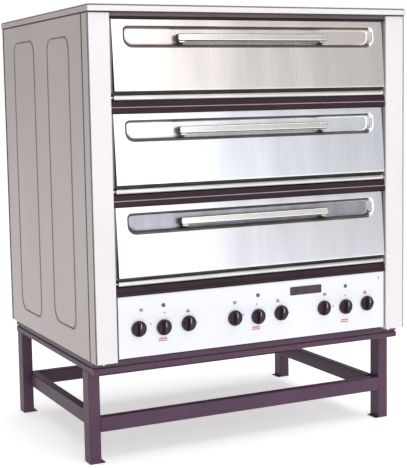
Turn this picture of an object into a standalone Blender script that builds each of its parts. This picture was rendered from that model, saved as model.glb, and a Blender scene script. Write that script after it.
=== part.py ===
"""Three-deck electric deck oven on an open tube stand.

Metres, +Z up, doors towards -Y. Depths (y) are measured backwards from the front edge of the
top cover, inside the empty "oven", which puts the whole oven's middle over the world's origin.
Heights are measured from the floor.
"""

import math

import bmesh
import bpy
from mathutils import Matrix, Vector

# Driving dimensions of the casing
HEIGHT = 1.625
COVER_WIDTH = 1.300
COVER_DEPTH = 1.003
COVER_HEIGHT = 0.024
BODY_WIDTH = 1.2986
BODY_FRONT = 0.0087
BODY_BACK = 0.985
BODY_BOTTOM = 0.385
SHEET = 0.0015
GAP = 0.0003  # between pieces that touch
BODY_TOP = HEIGHT - COVER_HEIGHT - GAP

# Front pillars, and the plane of the chamber fronts that the doors close towards
PILLAR_FACE = 0.082
PILLAR_SIDE = 0.058
CHAMBER_FRONT = 0.058
PILLAR_INNER = BODY_WIDTH / 2 - PILLAR_FACE

# Decks, named from the top down, each placed by the height of its door's hinge axis
DECKS = ("upper", "middle", "lower")
TOP_HINGE = 1.308
DECK_PITCH = 0.324
HINGE_DEPTH = 0.0225

# Doors: the section's points are (depth, height) from the hinge axis
DOOR_WIDTH = 1.107
FACE_TOP = (0.0012, 0.267)
FACE_BOTTOM = (-0.0178, 0.027)
LIP = (-0.0152, 0.0232)
COVE = (-0.0088, 0.0195)
DOOR_BACK = 0.027
DOOR_FLOOR = 0.018
BEAD_RADIUS = 0.0105
ROD_RADIUS = 0.004
ROD_LENGTH = 1.146
TILT = math.atan2(FACE_TOP[0] - FACE_BOTTOM[0], FACE_TOP[1] - FACE_BOTTOM[1])
LINER = 0.002

# Handle recess pressed into each door, and its handle, along the face from its lower edge
RECESS_WIDTH = 1.016
RECESS_HEIGHT = 0.068
RECESS_MIDDLE = 0.181
RECESS_DEPTH = 0.024
RECESS_DRAFT = 0.007
HANDLE_LENGTH = 0.620
HANDLE_HEIGHT = 0.026
HANDLE_THICK = 0.008
HANDLE_PROUD = 0.006
HANDLE_MIDDLE = 0.180
POST_MIDDLE = 0.290
POST_WIDTH = 0.028
POST_HEIGHT = 0.033

# Baking chambers, heights from the hinge axis
CHAMBER_WIDTH = 1.000
CHAMBER_DEPTH = 0.808
CHAMBER_FLOOR = -0.010
CHAMBER_CEILING = 0.248
CHAMBER_SHEET = 0.002
MOUTH_WIDTH = 0.980
MOUTH_BOTTOM = 0.037
MOUTH_TOP = 0.227
FRONT_BOTTOM = -0.030
FRONT_TOP = 0.290
LEDGE_WIDTH = 0.015
LEDGE_TOP = 0.0290
LEDGE_THICK = 0.003
HEARTH_THICK = 0.005
HEARTH_MARGIN = 0.005

# Heating elements: one tube that runs to and fro, its two ends out through the back wall
ELEMENT_RADIUS = 0.005
ELEMENT_RUNS = 6
ELEMENT_PITCH = 0.150
ELEMENT_FRONT = 0.100
ELEMENT_BACK = 0.830
ELEMENT_END = 0.957
TOP_ELEMENT = 0.2375
BOTTOM_ELEMENT = 0.006

# Mineral wool round the chambers
JACKET_HALF = 0.630
JACKET_BACK = 0.940
JACKET_TOP = 1.590
JACKET_BOTTOM = 0.636

# Control panel and its knobs, in three groups of three
PANEL_FACE = 0.0187
PANEL_TOP = 0.614
PANEL_BOTTOM = 0.3935
PANEL_FLANGE = 0.012
GROUP_PITCH = 0.3845
KNOB_SPREAD = 0.0978
KNOB_HEIGHT = 0.4955
SWITCH_HEIGHT = 0.4915
LAMP_HEIGHT = 0.571
LAMP_HOLE = 0.0045
KNOB_RADIUS = 0.027
SKIRT_DEPTH = 0.0065
KNOB_DEPTH = 0.0245
KNOB_GAP = 0.0008
GRIP_WIDTH = 0.013
GRIP_HEIGHT = 0.049
SHAFT_RADIUS = 0.004
SHAFT_END = 0.0045
SWITCH_RADIUS = 0.019
SWITCH_FRONT = 0.0255
BRACKET_FACE = 0.060
KNOB_OVERHANG = KNOB_DEPTH + KNOB_GAP - PANEL_FACE

# Purple rails across the front, their lower edge standing further out
RAIL_FACE = 0.0187
RAIL_LEDGE = 0.0155
RAIL_SHEET = 0.002

# Side panels, with two shallow pressed panels in each
SIDE_DEPTH = 0.015
SIDE_FRONT = BODY_FRONT + PILLAR_SIDE + 0.0005
RIB_DEPTH = 0.003
RIB_RADIUS = 0.045
RIBS = ((0.315, 0.230, 0.484, 1.527), (0.712, 0.247, 0.467, 1.532))  # middle, width, bottom, top

# Base pan and tube stand
PAN_FRONT = 0.050
PAN_BACK = 0.946
STAND_HALF = 0.645
RAIL_TOP = 0.3617
RAIL_BOTTOM = 0.3400
RAIL_WIDTH = 0.040
LEG_HALF = 0.6444
LEG_X = 0.044
LEG_Y = 0.0585
LEG_FRONTS = {"front": 0.1075, "rear": 0.8805}
FOOT_THICK = 0.003
FOOT_INWARD = 0.015
STRETCHER_TOP = 0.168
STRETCHER_BOTTOM = 0.113
STRETCHER_X = 0.612
STRETCHER_WIDTH = 0.034
TUBE_WALL = 0.002

# Cable gland low on the rear panel
GLAND_X = 0.520
GLAND_Z = 0.450
GLAND_RADIUS = 0.014

# (colour, roughness, metallic) of each finish
FINISHES = {
    "stainless": ((0.72, 0.71, 0.72), 0.30, 1.0),
    "polished_steel": ((0.80, 0.80, 0.82), 0.16, 1.0),
    "white_enamel": ((0.90, 0.89, 0.93), 0.35, 0.0),
    "taupe_enamel": ((0.47, 0.43, 0.41), 0.45, 0.0),
    "purple_enamel": ((0.105, 0.070, 0.105), 0.40, 0.0),
    "chamber_steel": ((0.55, 0.54, 0.53), 0.45, 1.0),
    "hearth_steel": ((0.16, 0.15, 0.15), 0.60, 1.0),
    "element_sheath": ((0.12, 0.11, 0.10), 0.50, 1.0),
    "mineral_wool": ((0.62, 0.55, 0.40), 0.95, 0.0),
    "knob_plastic": ((0.030, 0.018, 0.026), 0.30, 0.0),
    "zinc": ((0.60, 0.61, 0.63), 0.40, 1.0),
    "black_nylon": ((0.020, 0.020, 0.022), 0.50, 0.0),
}


def clear_scene():
    for old in list(bpy.data.objects):
        bpy.data.objects.remove(old)


def finish_material(name):
    found = bpy.data.materials.get(name)
    if found:
        return found
    colour, roughness, metallic = FINISHES[name]
    made = bpy.data.materials.new(name)
    made.use_nodes = True
    shader = made.node_tree.nodes["Principled BSDF"]
    shader.inputs["Base Color"].default_value = (*colour, 1.0)
    shader.inputs["Roughness"].default_value = roughness
    shader.inputs["Metallic"].default_value = metallic
    return made


def add_empty(name, place, parent=None):
    empty = bpy.data.objects.new(name, None)
    bpy.context.scene.collection.objects.link(empty)
    empty.location = place
    empty.parent = parent
    return empty


def link(name, data, parent, place, turn):
    made = bpy.data.objects.new(name, data)
    bpy.context.scene.collection.objects.link(made)
    made.parent = parent
    made.location = place
    made.rotation_euler = turn
    return made


def add_piece(name, shape, finish, parent, place=(0, 0, 0), turn=(0, 0, 0)):
    """A sub-part made from a bmesh, with its faces turned outwards and round stretches smooth."""
    bmesh.ops.recalc_face_normals(shape, faces=shape.faces)
    mesh = bpy.data.meshes.new(name)
    shape.to_mesh(mesh)
    shape.free()
    mesh.shade_smooth()
    mesh.set_sharp_from_angle(angle=math.radians(35))
    if finish:
        mesh.materials.append(finish_material(finish))
    return link(name, mesh, parent, place, turn)


def add_helper(name, shape, parent, place=(0, 0, 0), turn=(0, 0, 0)):
    """A shape that only cuts or joins."""
    helper = add_piece(name, shape, None, parent, place, turn)
    helper.hide_render = True
    helper.display_type = "WIRE"
    return helper


def combine(piece, helper, operation="DIFFERENCE"):
    modifier = piece.modifiers.new(helper.name, "BOOLEAN")
    modifier.operation = operation
    modifier.object = helper


def box(shape, low, high):
    size = [b - a for a, b in zip(low, high)]
    middle = [(a + b) / 2 for a, b in zip(low, high)]
    matrix = Matrix.Translation(middle) @ Matrix.Diagonal((*size, 1.0))
    bmesh.ops.create_cube(shape, size=1.0, matrix=matrix)


def box_shape(low, high):
    shape = bmesh.new()
    box(shape, low, high)
    return shape


def prism(shape, outline, axis, low, high):
    """Extrudes an outline along an axis; its pairs are the other two coordinates, in X, Y, Z order."""

    def point(pair, along):
        values = list(pair)
        values.insert("XYZ".index(axis), along)
        return values

    face = shape.faces.new([shape.verts.new(point(pair, low)) for pair in outline])
    made = bmesh.ops.extrude_face_region(shape, geom=[face])["geom"]
    ends = [item for item in made if isinstance(item, bmesh.types.BMVert)]
    bmesh.ops.translate(shape, verts=ends, vec=Vector(point((0, 0), high - low)))


def prism_shape(outline, axis, low, high):
    shape = bmesh.new()
    prism(shape, outline, axis, low, high)
    return shape


def loft(shape, loops):
    """Closed solid through loops of points, capped at both ends."""
    rings = [[shape.verts.new(point) for point in loop] for loop in loops]
    for near, far in zip(rings, rings[1:]):
        for i in range(len(near)):
            j = (i + 1) % len(near)
            shape.faces.new((near[i], near[j], far[j], far[i]))
    shape.faces.new(rings[0])
    shape.faces.new(rings[-1])


def turned(shape, profile, sides, x=0.0, z=0.0):
    """Solid of revolution about a line along Y; the profile's pairs are (radius, y)."""
    turns = [math.tau * (i + 0.5) / sides for i in range(sides)]
    loft(
        shape,
        [[(x + r * math.cos(a), y, z + r * math.sin(a)) for a in turns] for r, y in profile],
    )


def arc(centre, radius, start, end, steps):
    """Points on an arc, angles in degrees."""
    angles = [math.radians(start + (end - start) * i / steps) for i in range(steps + 1)]
    return [(centre[0] + radius * math.cos(a), centre[1] + radius * math.sin(a)) for a in angles]


def rounded_outline(width, height, top_radius, bottom_radius, steps=4):
    """Rounded rectangle about (0, 0), anticlockwise from its lower right corner."""
    x, z = width / 2, height / 2
    corners = (
        (x, -z, bottom_radius, -90),
        (x, z, top_radius, 0),
        (-x, z, top_radius, 90),
        (-x, -z, bottom_radius, 180),
    )
    points = []
    for cx, cz, radius, start in corners:
        centre = (math.copysign(abs(cx) - radius, cx), math.copysign(abs(cz) - radius, cz))
        points += arc(centre, radius, start, start + 90, steps)
    return points


def offset(outline, distance):
    """Moves an anticlockwise outline inwards by a distance, mitred at its corners."""
    moved = []
    for i, (x, y) in enumerate(outline):
        before, after = outline[i - 1], outline[(i + 1) % len(outline)]
        first = Vector((before[1] - y, x - before[0])).normalized()
        second = Vector((y - after[1], after[0] - x)).normalized()
        step = (first + second) * (distance / (1 + first.dot(second)))
        moved.append((x + step.x, y + step.y))
    return moved


def dish(outline_size, middle, depths, draft):
    """A pressed recess's shape below the plane y = 0: straight down to the first depth, then
    drawn in by the draft at the second. outline_size is (width, height, radii)."""
    width, height, top_radius, bottom_radius = outline_size
    wide = rounded_outline(width, height, top_radius, bottom_radius)
    narrow = rounded_outline(
        width - 2 * draft, height - 2 * draft, top_radius - draft, bottom_radius - draft
    )
    x, z = middle
    near, mouth, floor = depths
    shape = bmesh.new()
    loft(
        shape,
        [
            [(x + u, near, z + v) for u, v in wide],
            [(x + u, mouth, z + v) for u, v in wide],
            [(x + u, floor, z + v) for u, v in narrow],
        ],
    )
    return shape


def press_recess(piece, cavity, label, size, middle, depth, draft, parent, place, turn):
    """Presses a recess of one sheet's thickness into a hollow piece: the sheet's back is left
    standing in the cavity's cutter, and its front is cut away."""
    width, height, top_radius, bottom_radius = size
    grown = (
        width + 2 * SHEET,
        height + 2 * SHEET,
        top_radius + SHEET,
        bottom_radius + SHEET,
    )
    back = dish(grown, middle, (SHEET / 2, SHEET, depth + SHEET), draft)
    front = dish(size, middle, (-0.01, 0.0, depth), draft)
    combine(cavity, add_helper(label + "_back", back, parent, place, turn))
    combine(piece, add_helper(label + "_front", front, parent, place, turn))


def box_tube(name, low, high, axis, finish, parent):
    """A rectangular tube with open ends."""
    piece = add_piece(name, box_shape(low, high), finish, parent)
    along = "XYZ".index(axis)
    grow = [0.01 if i == along else -TUBE_WALL for i in range(3)]
    inner = box_shape(
        [a - g for a, g in zip(low, grow)],
        [b + g for b, g in zip(high, grow)],
    )
    combine(piece, add_helper(name + "_bore", inner, parent))
    return piece


def hinge_height(deck):
    return TOP_HINGE - DECK_PITCH * DECKS.index(deck)


def folded_tray(name, low, high, open_side, finish, parent):
    """A tray folded from sheet, open on one side: its axis letter and sign."""
    piece = add_piece(name, box_shape(low, high), finish, parent)
    along = "XYZ".index(open_side[0])
    inner_low = [a + SHEET for a in low]
    inner_high = [b - SHEET for b in high]
    if open_side[1] == "-":
        inner_low[along] = low[along] - 0.01
    else:
        inner_high[along] = high[along] + 0.01
    cavity = add_helper(name + "_cavity", box_shape(inner_low, inner_high), parent)
    combine(piece, cavity)
    return piece


def make_cover(oven):
    half = COVER_WIDTH / 2
    low = (-half, 0.0, HEIGHT - COVER_HEIGHT)
    folded_tray("top_cover", low, (half, COVER_DEPTH, HEIGHT), "Z-", "white_enamel", oven)


def make_side(name, side, oven):
    """Side panel: side is -1 on the left and 1 on the right. Its own y points into the oven."""
    length = BODY_BACK - SIDE_FRONT
    middle = (BODY_BACK + SIDE_FRONT) / 2
    place = (side * BODY_WIDTH / 2, middle, 0.0)
    turn = (0.0, 0.0, side * math.pi / 2)
    low = (-length / 2, 0.0, BODY_BOTTOM)
    high = (length / 2, SIDE_DEPTH, BODY_TOP)
    panel = add_piece(name, box_shape(low, high), "taupe_enamel", oven, place, turn)
    inner_low = (low[0] + SHEET, SHEET, low[2] + SHEET)
    inner_high = (high[0] - SHEET, SIDE_DEPTH + 0.01, high[2] - SHEET)
    cavity = add_helper(name + "_cavity", box_shape(inner_low, inner_high), oven, place, turn)
    for i, (rib_middle, width, bottom, top) in enumerate(RIBS):
        size = (width, top - bottom, RIB_RADIUS, RIB_RADIUS)
        spot = (side * (rib_middle - middle), (bottom + top) / 2)
        label = f"{name}_rib_{i}"
        press_recess(panel, cavity, label, size, spot, RIB_DEPTH, RIB_DEPTH, oven, place, turn)
    combine(panel, cavity)


def make_rear(oven):
    half = BODY_WIDTH / 2 - SHEET - GAP
    low = (-half, BODY_BACK + GAP, BODY_BOTTOM)
    high = (half, BODY_BACK + GAP + SHEET, BODY_TOP)
    panel = add_piece("rear_panel", box_shape(low, high), "taupe_enamel", oven)
    slots = bmesh.new()
    for row in range(2):
        for column in range(5):
            x = -0.40 + 0.09 * column
            z = 0.50 + 0.05 * row
            box(slots, (x, BODY_BACK - 0.01, z), (x + 0.06, BODY_BACK + 0.02, z + 0.006))
    combine(panel, add_helper("rear_slots", slots, oven))
    hole = bmesh.new()
    ends = ((GLAND_RADIUS * 0.72, BODY_BACK - 0.01), (GLAND_RADIUS * 0.72, BODY_BACK + 0.02))
    turned(hole, ends, 12, GLAND_X, GLAND_Z)
    combine(panel, add_helper("gland_hole", hole, oven))


def make_gland(oven):
    """Nylon cable gland: a thread through the rear panel, a hexagon and a domed nut."""
    face = BODY_BACK + GAP + SHEET + GAP
    thread = GLAND_RADIUS * 0.72 - GAP
    shape = bmesh.new()
    profile = (
        (thread, face - 0.014),
        (thread, face),
        (GLAND_RADIUS, face),
        (GLAND_RADIUS, face + 0.007),
        (GLAND_RADIUS * 0.86, face + 0.0075),
        (GLAND_RADIUS * 0.78, face + 0.0135),
        (GLAND_RADIUS * 0.55, face + 0.0155),
    )
    turned(shape, profile, 12, GLAND_X, GLAND_Z)
    add_piece("cable_gland", shape, "black_nylon", oven)


def make_pillar(name, side, oven):
    """White channel: a face strip, a return along the oven's side and an inner wall."""
    outer, inner = BODY_WIDTH / 2, PILLAR_INNER
    side_end, wall_end = BODY_FRONT + PILLAR_SIDE, CHAMBER_FRONT - GAP
    outline = [
        (inner, BODY_FRONT),
        (outer, BODY_FRONT),
        (outer, side_end),
        (outer - SHEET, side_end),
        (outer - SHEET, BODY_FRONT + SHEET),
        (inner + SHEET, BODY_FRONT + SHEET),
        (inner + SHEET, wall_end),
        (inner, wall_end),
    ]
    outline = [(side * x, y) for x, y in outline]
    shape = prism_shape(outline, "Z", BODY_BOTTOM, BODY_TOP)
    pillar = add_piece(name, shape, "white_enamel", oven)
    holes = bmesh.new()
    for deck in DECKS:
        z = hinge_height(deck)
        ring = [
            (HINGE_DEPTH + y, z + h) for y, h in arc((0, 0), ROD_RADIUS + GAP, 0, 330, 11)
        ]
        prism(holes, ring, "X", side * (inner - 0.01), side * (inner + 0.01))
    combine(pillar, add_helper(name + "_holes", holes, oven))


def make_rail(name, bottom, top, lip, oven):
    """Channel across the front, its face stepped out by a small ledge over the lower lip."""
    back = CHAMBER_FRONT - GAP
    half = PILLAR_INNER - GAP
    outline = [
        (back, bottom),
        (back, bottom + RAIL_SHEET),
        (RAIL_LEDGE + RAIL_SHEET, bottom + RAIL_SHEET),
        (RAIL_LEDGE + RAIL_SHEET, bottom + lip - RAIL_SHEET),
        (RAIL_FACE + RAIL_SHEET, bottom + lip - RAIL_SHEET),
        (RAIL_FACE + RAIL_SHEET, top - RAIL_SHEET),
        (back, top - RAIL_SHEET),
        (back, top),
        (RAIL_FACE, top),
        (RAIL_FACE, bottom + lip),
        (RAIL_LEDGE, bottom + lip),
        (RAIL_LEDGE, bottom),
    ]
    add_piece(name, prism_shape(outline, "X", -half, half), "purple_enamel", oven)


def make_rails(oven):
    door_top, door_bottom = FACE_TOP[1] + 0.0035, -BEAD_RADIUS - 0.003
    make_rail("header_rail", hinge_height("upper") + door_top, BODY_TOP, 0.007, oven)
    make_rail(
        "upper_deck_rail", hinge_height("middle") + door_top, TOP_HINGE + door_bottom, 0.021, oven
    )
    make_rail(
        "middle_deck_rail",
        hinge_height("lower") + door_top,
        hinge_height("middle") + door_bottom,
        0.021,
        oven,
    )
    lowest_top = hinge_height("lower") + door_bottom
    make_rail("lower_deck_rail", PANEL_TOP + 0.0008, lowest_top, 0.012, oven)


def knob_places():
    """(name, x, z) of each knob: a thermostat on either side of each deck's switch."""
    places = []
    for i, deck in enumerate(DECKS):
        middle = (i - 1) * GROUP_PITCH
        places.append((deck + "_top_heat_knob", middle - KNOB_SPREAD, KNOB_HEIGHT))
        places.append((deck + "_switch_knob", middle, SWITCH_HEIGHT))
        places.append((deck + "_bottom_heat_knob", middle + KNOB_SPREAD, KNOB_HEIGHT))
    return places


def make_control_panel(oven):
    half = PILLAR_INNER - 0.0008
    face, back = PANEL_FACE, PANEL_FACE + PANEL_FLANGE
    outline = [
        (face, PANEL_BOTTOM),
        (back, PANEL_BOTTOM),
        (back, PANEL_BOTTOM + SHEET),
        (face + SHEET, PANEL_BOTTOM + SHEET),
        (face + SHEET, PANEL_TOP - SHEET),
        (back, PANEL_TOP - SHEET),
        (back, PANEL_TOP),
        (face, PANEL_TOP),
    ]
    panel = add_piece(
        "control_panel", prism_shape(outline, "X", -half, half), "white_enamel", oven
    )
    holes = bmesh.new()
    reach = (face - 0.005, face + 0.006)
    for _, x, z in knob_places():
        turned(holes, [(SHAFT_RADIUS + 0.0008, y) for y in reach], 12, x, z)
    for i in range(len(DECKS)):
        turned(holes, [(LAMP_HOLE, y) for y in reach], 12, (i - 1) * GROUP_PITCH, LAMP_HEIGHT)
    combine(panel, add_helper("panel_holes", holes, oven))


def make_switch_bracket(oven):
    """Bracket behind the panel with the bodies of its switches and thermostats."""
    shape = box_shape((-0.540, BRACKET_FACE, 0.462), (0.540, BRACKET_FACE + 0.003, 0.525))
    bracket = add_piece("switch_bracket", shape, "zinc", oven)
    bodies = bmesh.new()
    for _, x, z in knob_places():
        ends = [(SWITCH_RADIUS, y) for y in (SWITCH_FRONT, BRACKET_FACE + 0.001)]
        turned(bodies, ends, 10, x, z)
    combine(bracket, add_helper("switch_bodies", bodies, oven), "UNION")


def make_knob(name, x, z, oven):
    """Skirted knob with a straight grip and its shaft, turned about its own y axis."""
    skirt = bmesh.new()
    profile = (
        (KNOB_RADIUS * 0.97, -KNOB_GAP),
        (KNOB_RADIUS, -KNOB_GAP - 0.002),
        (KNOB_RADIUS, -SKIRT_DEPTH),
        (KNOB_RADIUS * 0.88, -SKIRT_DEPTH - 0.003),
    )
    turned(skirt, profile, 24)
    knob = add_piece(name, skirt, "knob_plastic", oven, (x, PANEL_FACE, z))
    grip = dish(
        (GRIP_WIDTH, GRIP_HEIGHT, 0.0060, 0.0060),
        (0.0, 0.0),
        (-SKIRT_DEPTH + 0.003, -SKIRT_DEPTH, -KNOB_DEPTH - KNOB_GAP),
        0.0012,
    )
    combine(knob, add_helper(name + "_grip", grip, oven, (x, PANEL_FACE, z)), "UNION")
    shaft = bmesh.new()
    turned(shaft, [(SHAFT_RADIUS, SHAFT_END), (SHAFT_RADIUS, -0.003)], 12)
    combine(knob, add_helper(name + "_shaft", shaft, oven, (x, PANEL_FACE, z)), "UNION")


def door_section():
    """Outer section of a door skin, anticlockwise from the foot of its back edge."""
    bead = arc((0.0, 0.0), BEAD_RADIUS, 35, -230, 12)
    section = [(DOOR_BACK, DOOR_FLOOR), (DOOR_BACK, FACE_TOP[1]), FACE_TOP, FACE_BOTTOM, LIP, COVE]
    return section + bead[::-1]


def make_door_skin(deck, hinge):
    name = deck + "_door_skin"
    half = DOOR_WIDTH / 2
    section = door_section()
    skin = add_piece(name, prism_shape(section, "X", -half, half), "stainless", hinge)
    inner = offset(section, SHEET)
    inner[0] = (DOOR_BACK + 0.01, DOOR_FLOOR + SHEET)
    inner[1] = (DOOR_BACK + 0.01, FACE_TOP[1] - SHEET)
    shape = prism_shape(inner, "X", -half + SHEET, half - SHEET)
    cavity = add_helper(name + "_cavity", shape, hinge)
    place, turn = (0.0, *FACE_BOTTOM), (-TILT, 0.0, 0.0)
    size = (RECESS_WIDTH, RECESS_HEIGHT, 0.014, 0.028)
    press_recess(
        skin, cavity, name + "_recess", size, (0.0, RECESS_MIDDLE), RECESS_DEPTH, RECESS_DRAFT,
        hinge, place, turn,
    )
    combine(skin, cavity)
    ring = arc((0.0, 0.0), ROD_RADIUS + GAP, 0, 330, 11)
    hole = prism_shape(ring, "X", -half - 0.01, half + 0.01)
    combine(skin, add_helper(name + "_pin_holes", hole, hinge))


def make_door_liner(deck, hinge):
    """Flat inner door, behind the skin's open back."""
    half = DOOR_WIDTH / 2 - 0.006
    near = DOOR_BACK + GAP
    outline = rounded_outline(2 * half, 0.240, 0.008, 0.008, 3)
    middle = (DOOR_FLOOR + FACE_TOP[1]) / 2
    outline = [(x, z + middle) for x, z in outline]
    shape = prism_shape(outline, "Y", near, near + LINER)
    add_piece(deck + "_door_liner", shape, "stainless", hinge)


def make_handle(deck, hinge):
    """Flat bar on two posts that stand on the recess's floor."""
    name = deck + "_door_handle"
    place, turn = (0.0, *FACE_BOTTOM), (-TILT, 0.0, 0.0)
    front, back = -HANDLE_PROUD, HANDLE_THICK - HANDLE_PROUD
    bar_size = (HANDLE_LENGTH, HANDLE_HEIGHT, 0.009, 0.009)
    bar = dish(bar_size, (0.0, HANDLE_MIDDLE), (back, front + 0.002, front), 0.002)
    handle = add_piece(name, bar, "polished_steel", hinge, place, turn)
    top = HANDLE_MIDDLE + HANDLE_HEIGHT / 2 - 0.001
    post_size = (POST_WIDTH, POST_HEIGHT, 0.006, 0.006)
    for label, side in (("left", -1), ("right", 1)):
        post_middle = (side * POST_MIDDLE, top - POST_HEIGHT / 2)
        depths = (RECESS_DEPTH - GAP, RECESS_DEPTH - 0.004, back - 0.001)
        post = dish(post_size, post_middle, depths, 0.004)
        combine(handle, add_helper(f"{name}_{label}_post", post, hinge, place, turn), "UNION")


def make_hinge_rod(deck, hinge):
    ring = arc((0.0, 0.0), ROD_RADIUS, 0, 330, 11)
    shape = prism_shape(ring, "X", -ROD_LENGTH / 2, ROD_LENGTH / 2)
    add_piece(deck + "_door_hinge_rod", shape, "zinc", hinge)


def element_run(height):
    """Centre line of a heating element: straight runs front to back, joined by half circles."""
    turn_radius = ELEMENT_PITCH / 2
    left = -ELEMENT_PITCH * (ELEMENT_RUNS - 1) / 2
    points = [(left, ELEMENT_END)]
    for run in range(ELEMENT_RUNS - 1):
        x = left + ELEMENT_PITCH * (run + 0.5)
        if run % 2 == 0:
            points += arc((x, ELEMENT_FRONT + turn_radius), turn_radius, 180, 360, 6)
        else:
            points += arc((x, ELEMENT_BACK - turn_radius), turn_radius, 180, 0, 6)
    points.append((-left, ELEMENT_END))
    return [(x, y, height) for x, y in points]


def make_element(name, height, oven):
    curve = bpy.data.curves.new(name, "CURVE")
    curve.dimensions = "3D"
    curve.bevel_depth = ELEMENT_RADIUS
    curve.bevel_resolution = 2
    curve.use_fill_caps = True
    spline = curve.splines.new("POLY")
    points = element_run(height)
    spline.points.add(len(points) - 1)
    for slot, point in zip(spline.points, points):
        slot.co = (*point, 1.0)
    curve.materials.append(finish_material("element_sheath"))
    return link(name, curve, oven, (0, 0, 0), (0, 0, 0))


def make_terminal_holes(oven):
    """Holes for the elements' ends, through the chambers' back walls and the mineral wool."""
    holes = bmesh.new()
    x = ELEMENT_PITCH * (ELEMENT_RUNS - 1) / 2
    for deck in DECKS:
        for height in (TOP_ELEMENT, BOTTOM_ELEMENT):
            for side in (-1, 1):
                ends = [(ELEMENT_RADIUS + 0.001, y) for y in (0.855, JACKET_BACK + 0.01)]
                turned(holes, ends, 8, side * x, hinge_height(deck) + height)
    return add_helper("terminal_holes", holes, oven)


def make_chamber(deck, holes, oven):
    """Open-fronted baking chamber with a wide front plate and a ledge for its hearth."""
    name = deck + "_baking_chamber"
    base = hinge_height(deck)
    half, wall = CHAMBER_WIDTH / 2, CHAMBER_SHEET
    front = CHAMBER_FRONT
    back = front + wall + CHAMBER_DEPTH
    low = (-half - wall, front, base + CHAMBER_FLOOR - wall)
    high = (half + wall, back + wall, base + CHAMBER_CEILING + wall)
    chamber = add_piece(name, box_shape(low, high), "chamber_steel", oven)
    plate_half = PILLAR_INNER + 0.0015
    plate = box_shape(
        (-plate_half, front, base + FRONT_BOTTOM), (plate_half, front + wall, base + FRONT_TOP)
    )
    combine(chamber, add_helper(name + "_front", plate, oven), "UNION")
    ledge = half - LEDGE_WIDTH
    ledge_bottom = base + LEDGE_TOP - LEDGE_THICK
    inside = [
        (-half, base + CHAMBER_FLOOR),
        (half, base + CHAMBER_FLOOR),
        (half, ledge_bottom),
        (ledge, ledge_bottom),
        (ledge, base + LEDGE_TOP),
        (half, base + LEDGE_TOP),
        (half, base + CHAMBER_CEILING),
        (-half, base + CHAMBER_CEILING),
        (-half, base + LEDGE_TOP),
        (-ledge, base + LEDGE_TOP),
        (-ledge, ledge_bottom),
        (-half, ledge_bottom),
    ]
    space = prism_shape(inside, "Y", front + wall, back)
    combine(chamber, add_helper(name + "_space", space, oven))
    mouth = box_shape(
        (-MOUTH_WIDTH / 2, front - 0.01, base + MOUTH_BOTTOM),
        (MOUTH_WIDTH / 2, front + 0.01, base + MOUTH_TOP),
    )
    combine(chamber, add_helper(name + "_mouth", mouth, oven))
    combine(chamber, holes)


def make_hearth(deck, oven):
    base = hinge_height(deck)
    half = CHAMBER_WIDTH / 2 - HEARTH_MARGIN
    front = CHAMBER_FRONT + CHAMBER_SHEET + HEARTH_MARGIN
    back = CHAMBER_FRONT + CHAMBER_SHEET + CHAMBER_DEPTH - HEARTH_MARGIN
    bottom = base + LEDGE_TOP + GAP
    shape = box_shape((-half, front, bottom), (half, back, bottom + HEARTH_THICK))
    add_piece(deck + "_hearth_plate", shape, "hearth_steel", oven)


def make_jacket(holes, oven):
    """Block of mineral wool with a space for each chamber."""
    front = CHAMBER_FRONT + CHAMBER_SHEET + GAP
    shape = box_shape(
        (-JACKET_HALF, front, JACKET_BOTTOM), (JACKET_HALF, JACKET_BACK, JACKET_TOP)
    )
    jacket = add_piece("insulation_jacket", shape, "mineral_wool", oven)
    spaces = bmesh.new()
    half = CHAMBER_WIDTH / 2 + CHAMBER_SHEET + GAP
    back = CHAMBER_FRONT + CHAMBER_DEPTH + 2 * CHAMBER_SHEET + GAP
    for deck in DECKS:
        base = hinge_height(deck)
        box(
            spaces,
            (-half, front - 0.01, base + CHAMBER_FLOOR - CHAMBER_SHEET - GAP),
            (half, back, base + CHAMBER_CEILING + CHAMBER_SHEET + GAP),
        )
    combine(jacket, add_helper("jacket_spaces", spaces, oven))
    combine(jacket, holes)


def make_base_pan(oven):
    low = (-STAND_HALF, PAN_FRONT, RAIL_TOP + GAP)
    high = (STAND_HALF, PAN_BACK, BODY_BOTTOM - GAP)
    folded_tray("base_pan", low, high, "Z-", "purple_enamel", oven)


def make_stand_rails(oven):
    low_z, high_z = RAIL_BOTTOM, RAIL_TOP
    ends = {
        "front": (PAN_FRONT, PAN_FRONT + RAIL_WIDTH),
        "rear": (PAN_BACK - RAIL_WIDTH, PAN_BACK),
    }
    for label, (near, far) in ends.items():
        low, high = (-STAND_HALF, near, low_z), (STAND_HALF, far, high_z)
        box_tube(f"stand_{label}_rail", low, high, "X", "purple_enamel", oven)
    near = ends["front"][1] + GAP
    far = ends["rear"][0] - GAP
    for label, side in (("left", -1), ("right", 1)):
        inner, outer = sorted((side * (STAND_HALF - RAIL_WIDTH), side * STAND_HALF))
        low, high = (inner, near, low_z), (outer, far, high_z)
        box_tube(f"stand_{label}_rail", low, high, "Y", "purple_enamel", oven)


def make_leg(label, side, near, oven):
    """Rectangular tube leg, open at its top, welded on a thin foot plate."""
    outer, inner = LEG_HALF, LEG_HALF - LEG_X
    low, high = sorted((side * inner, side * outer))
    top = RAIL_BOTTOM - GAP
    name = f"{label}_leg"
    leg = add_piece(
        name, box_shape((low, near, 0.0), (high, near + LEG_Y, top)), "purple_enamel", oven
    )
    plate_low, plate_high = sorted((side * (inner - FOOT_INWARD), side * outer))
    plate = box_shape((plate_low, near, 0.0), (plate_high, near + LEG_Y, FOOT_THICK))
    combine(leg, add_helper(name + "_foot", plate, oven), "UNION")
    bore = box_shape(
        (low + TUBE_WALL, near + TUBE_WALL, FOOT_THICK),
        (high - TUBE_WALL, near + LEG_Y - TUBE_WALL, top + 0.01),
    )
    combine(leg, add_helper(name + "_bore", bore, oven))


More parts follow.
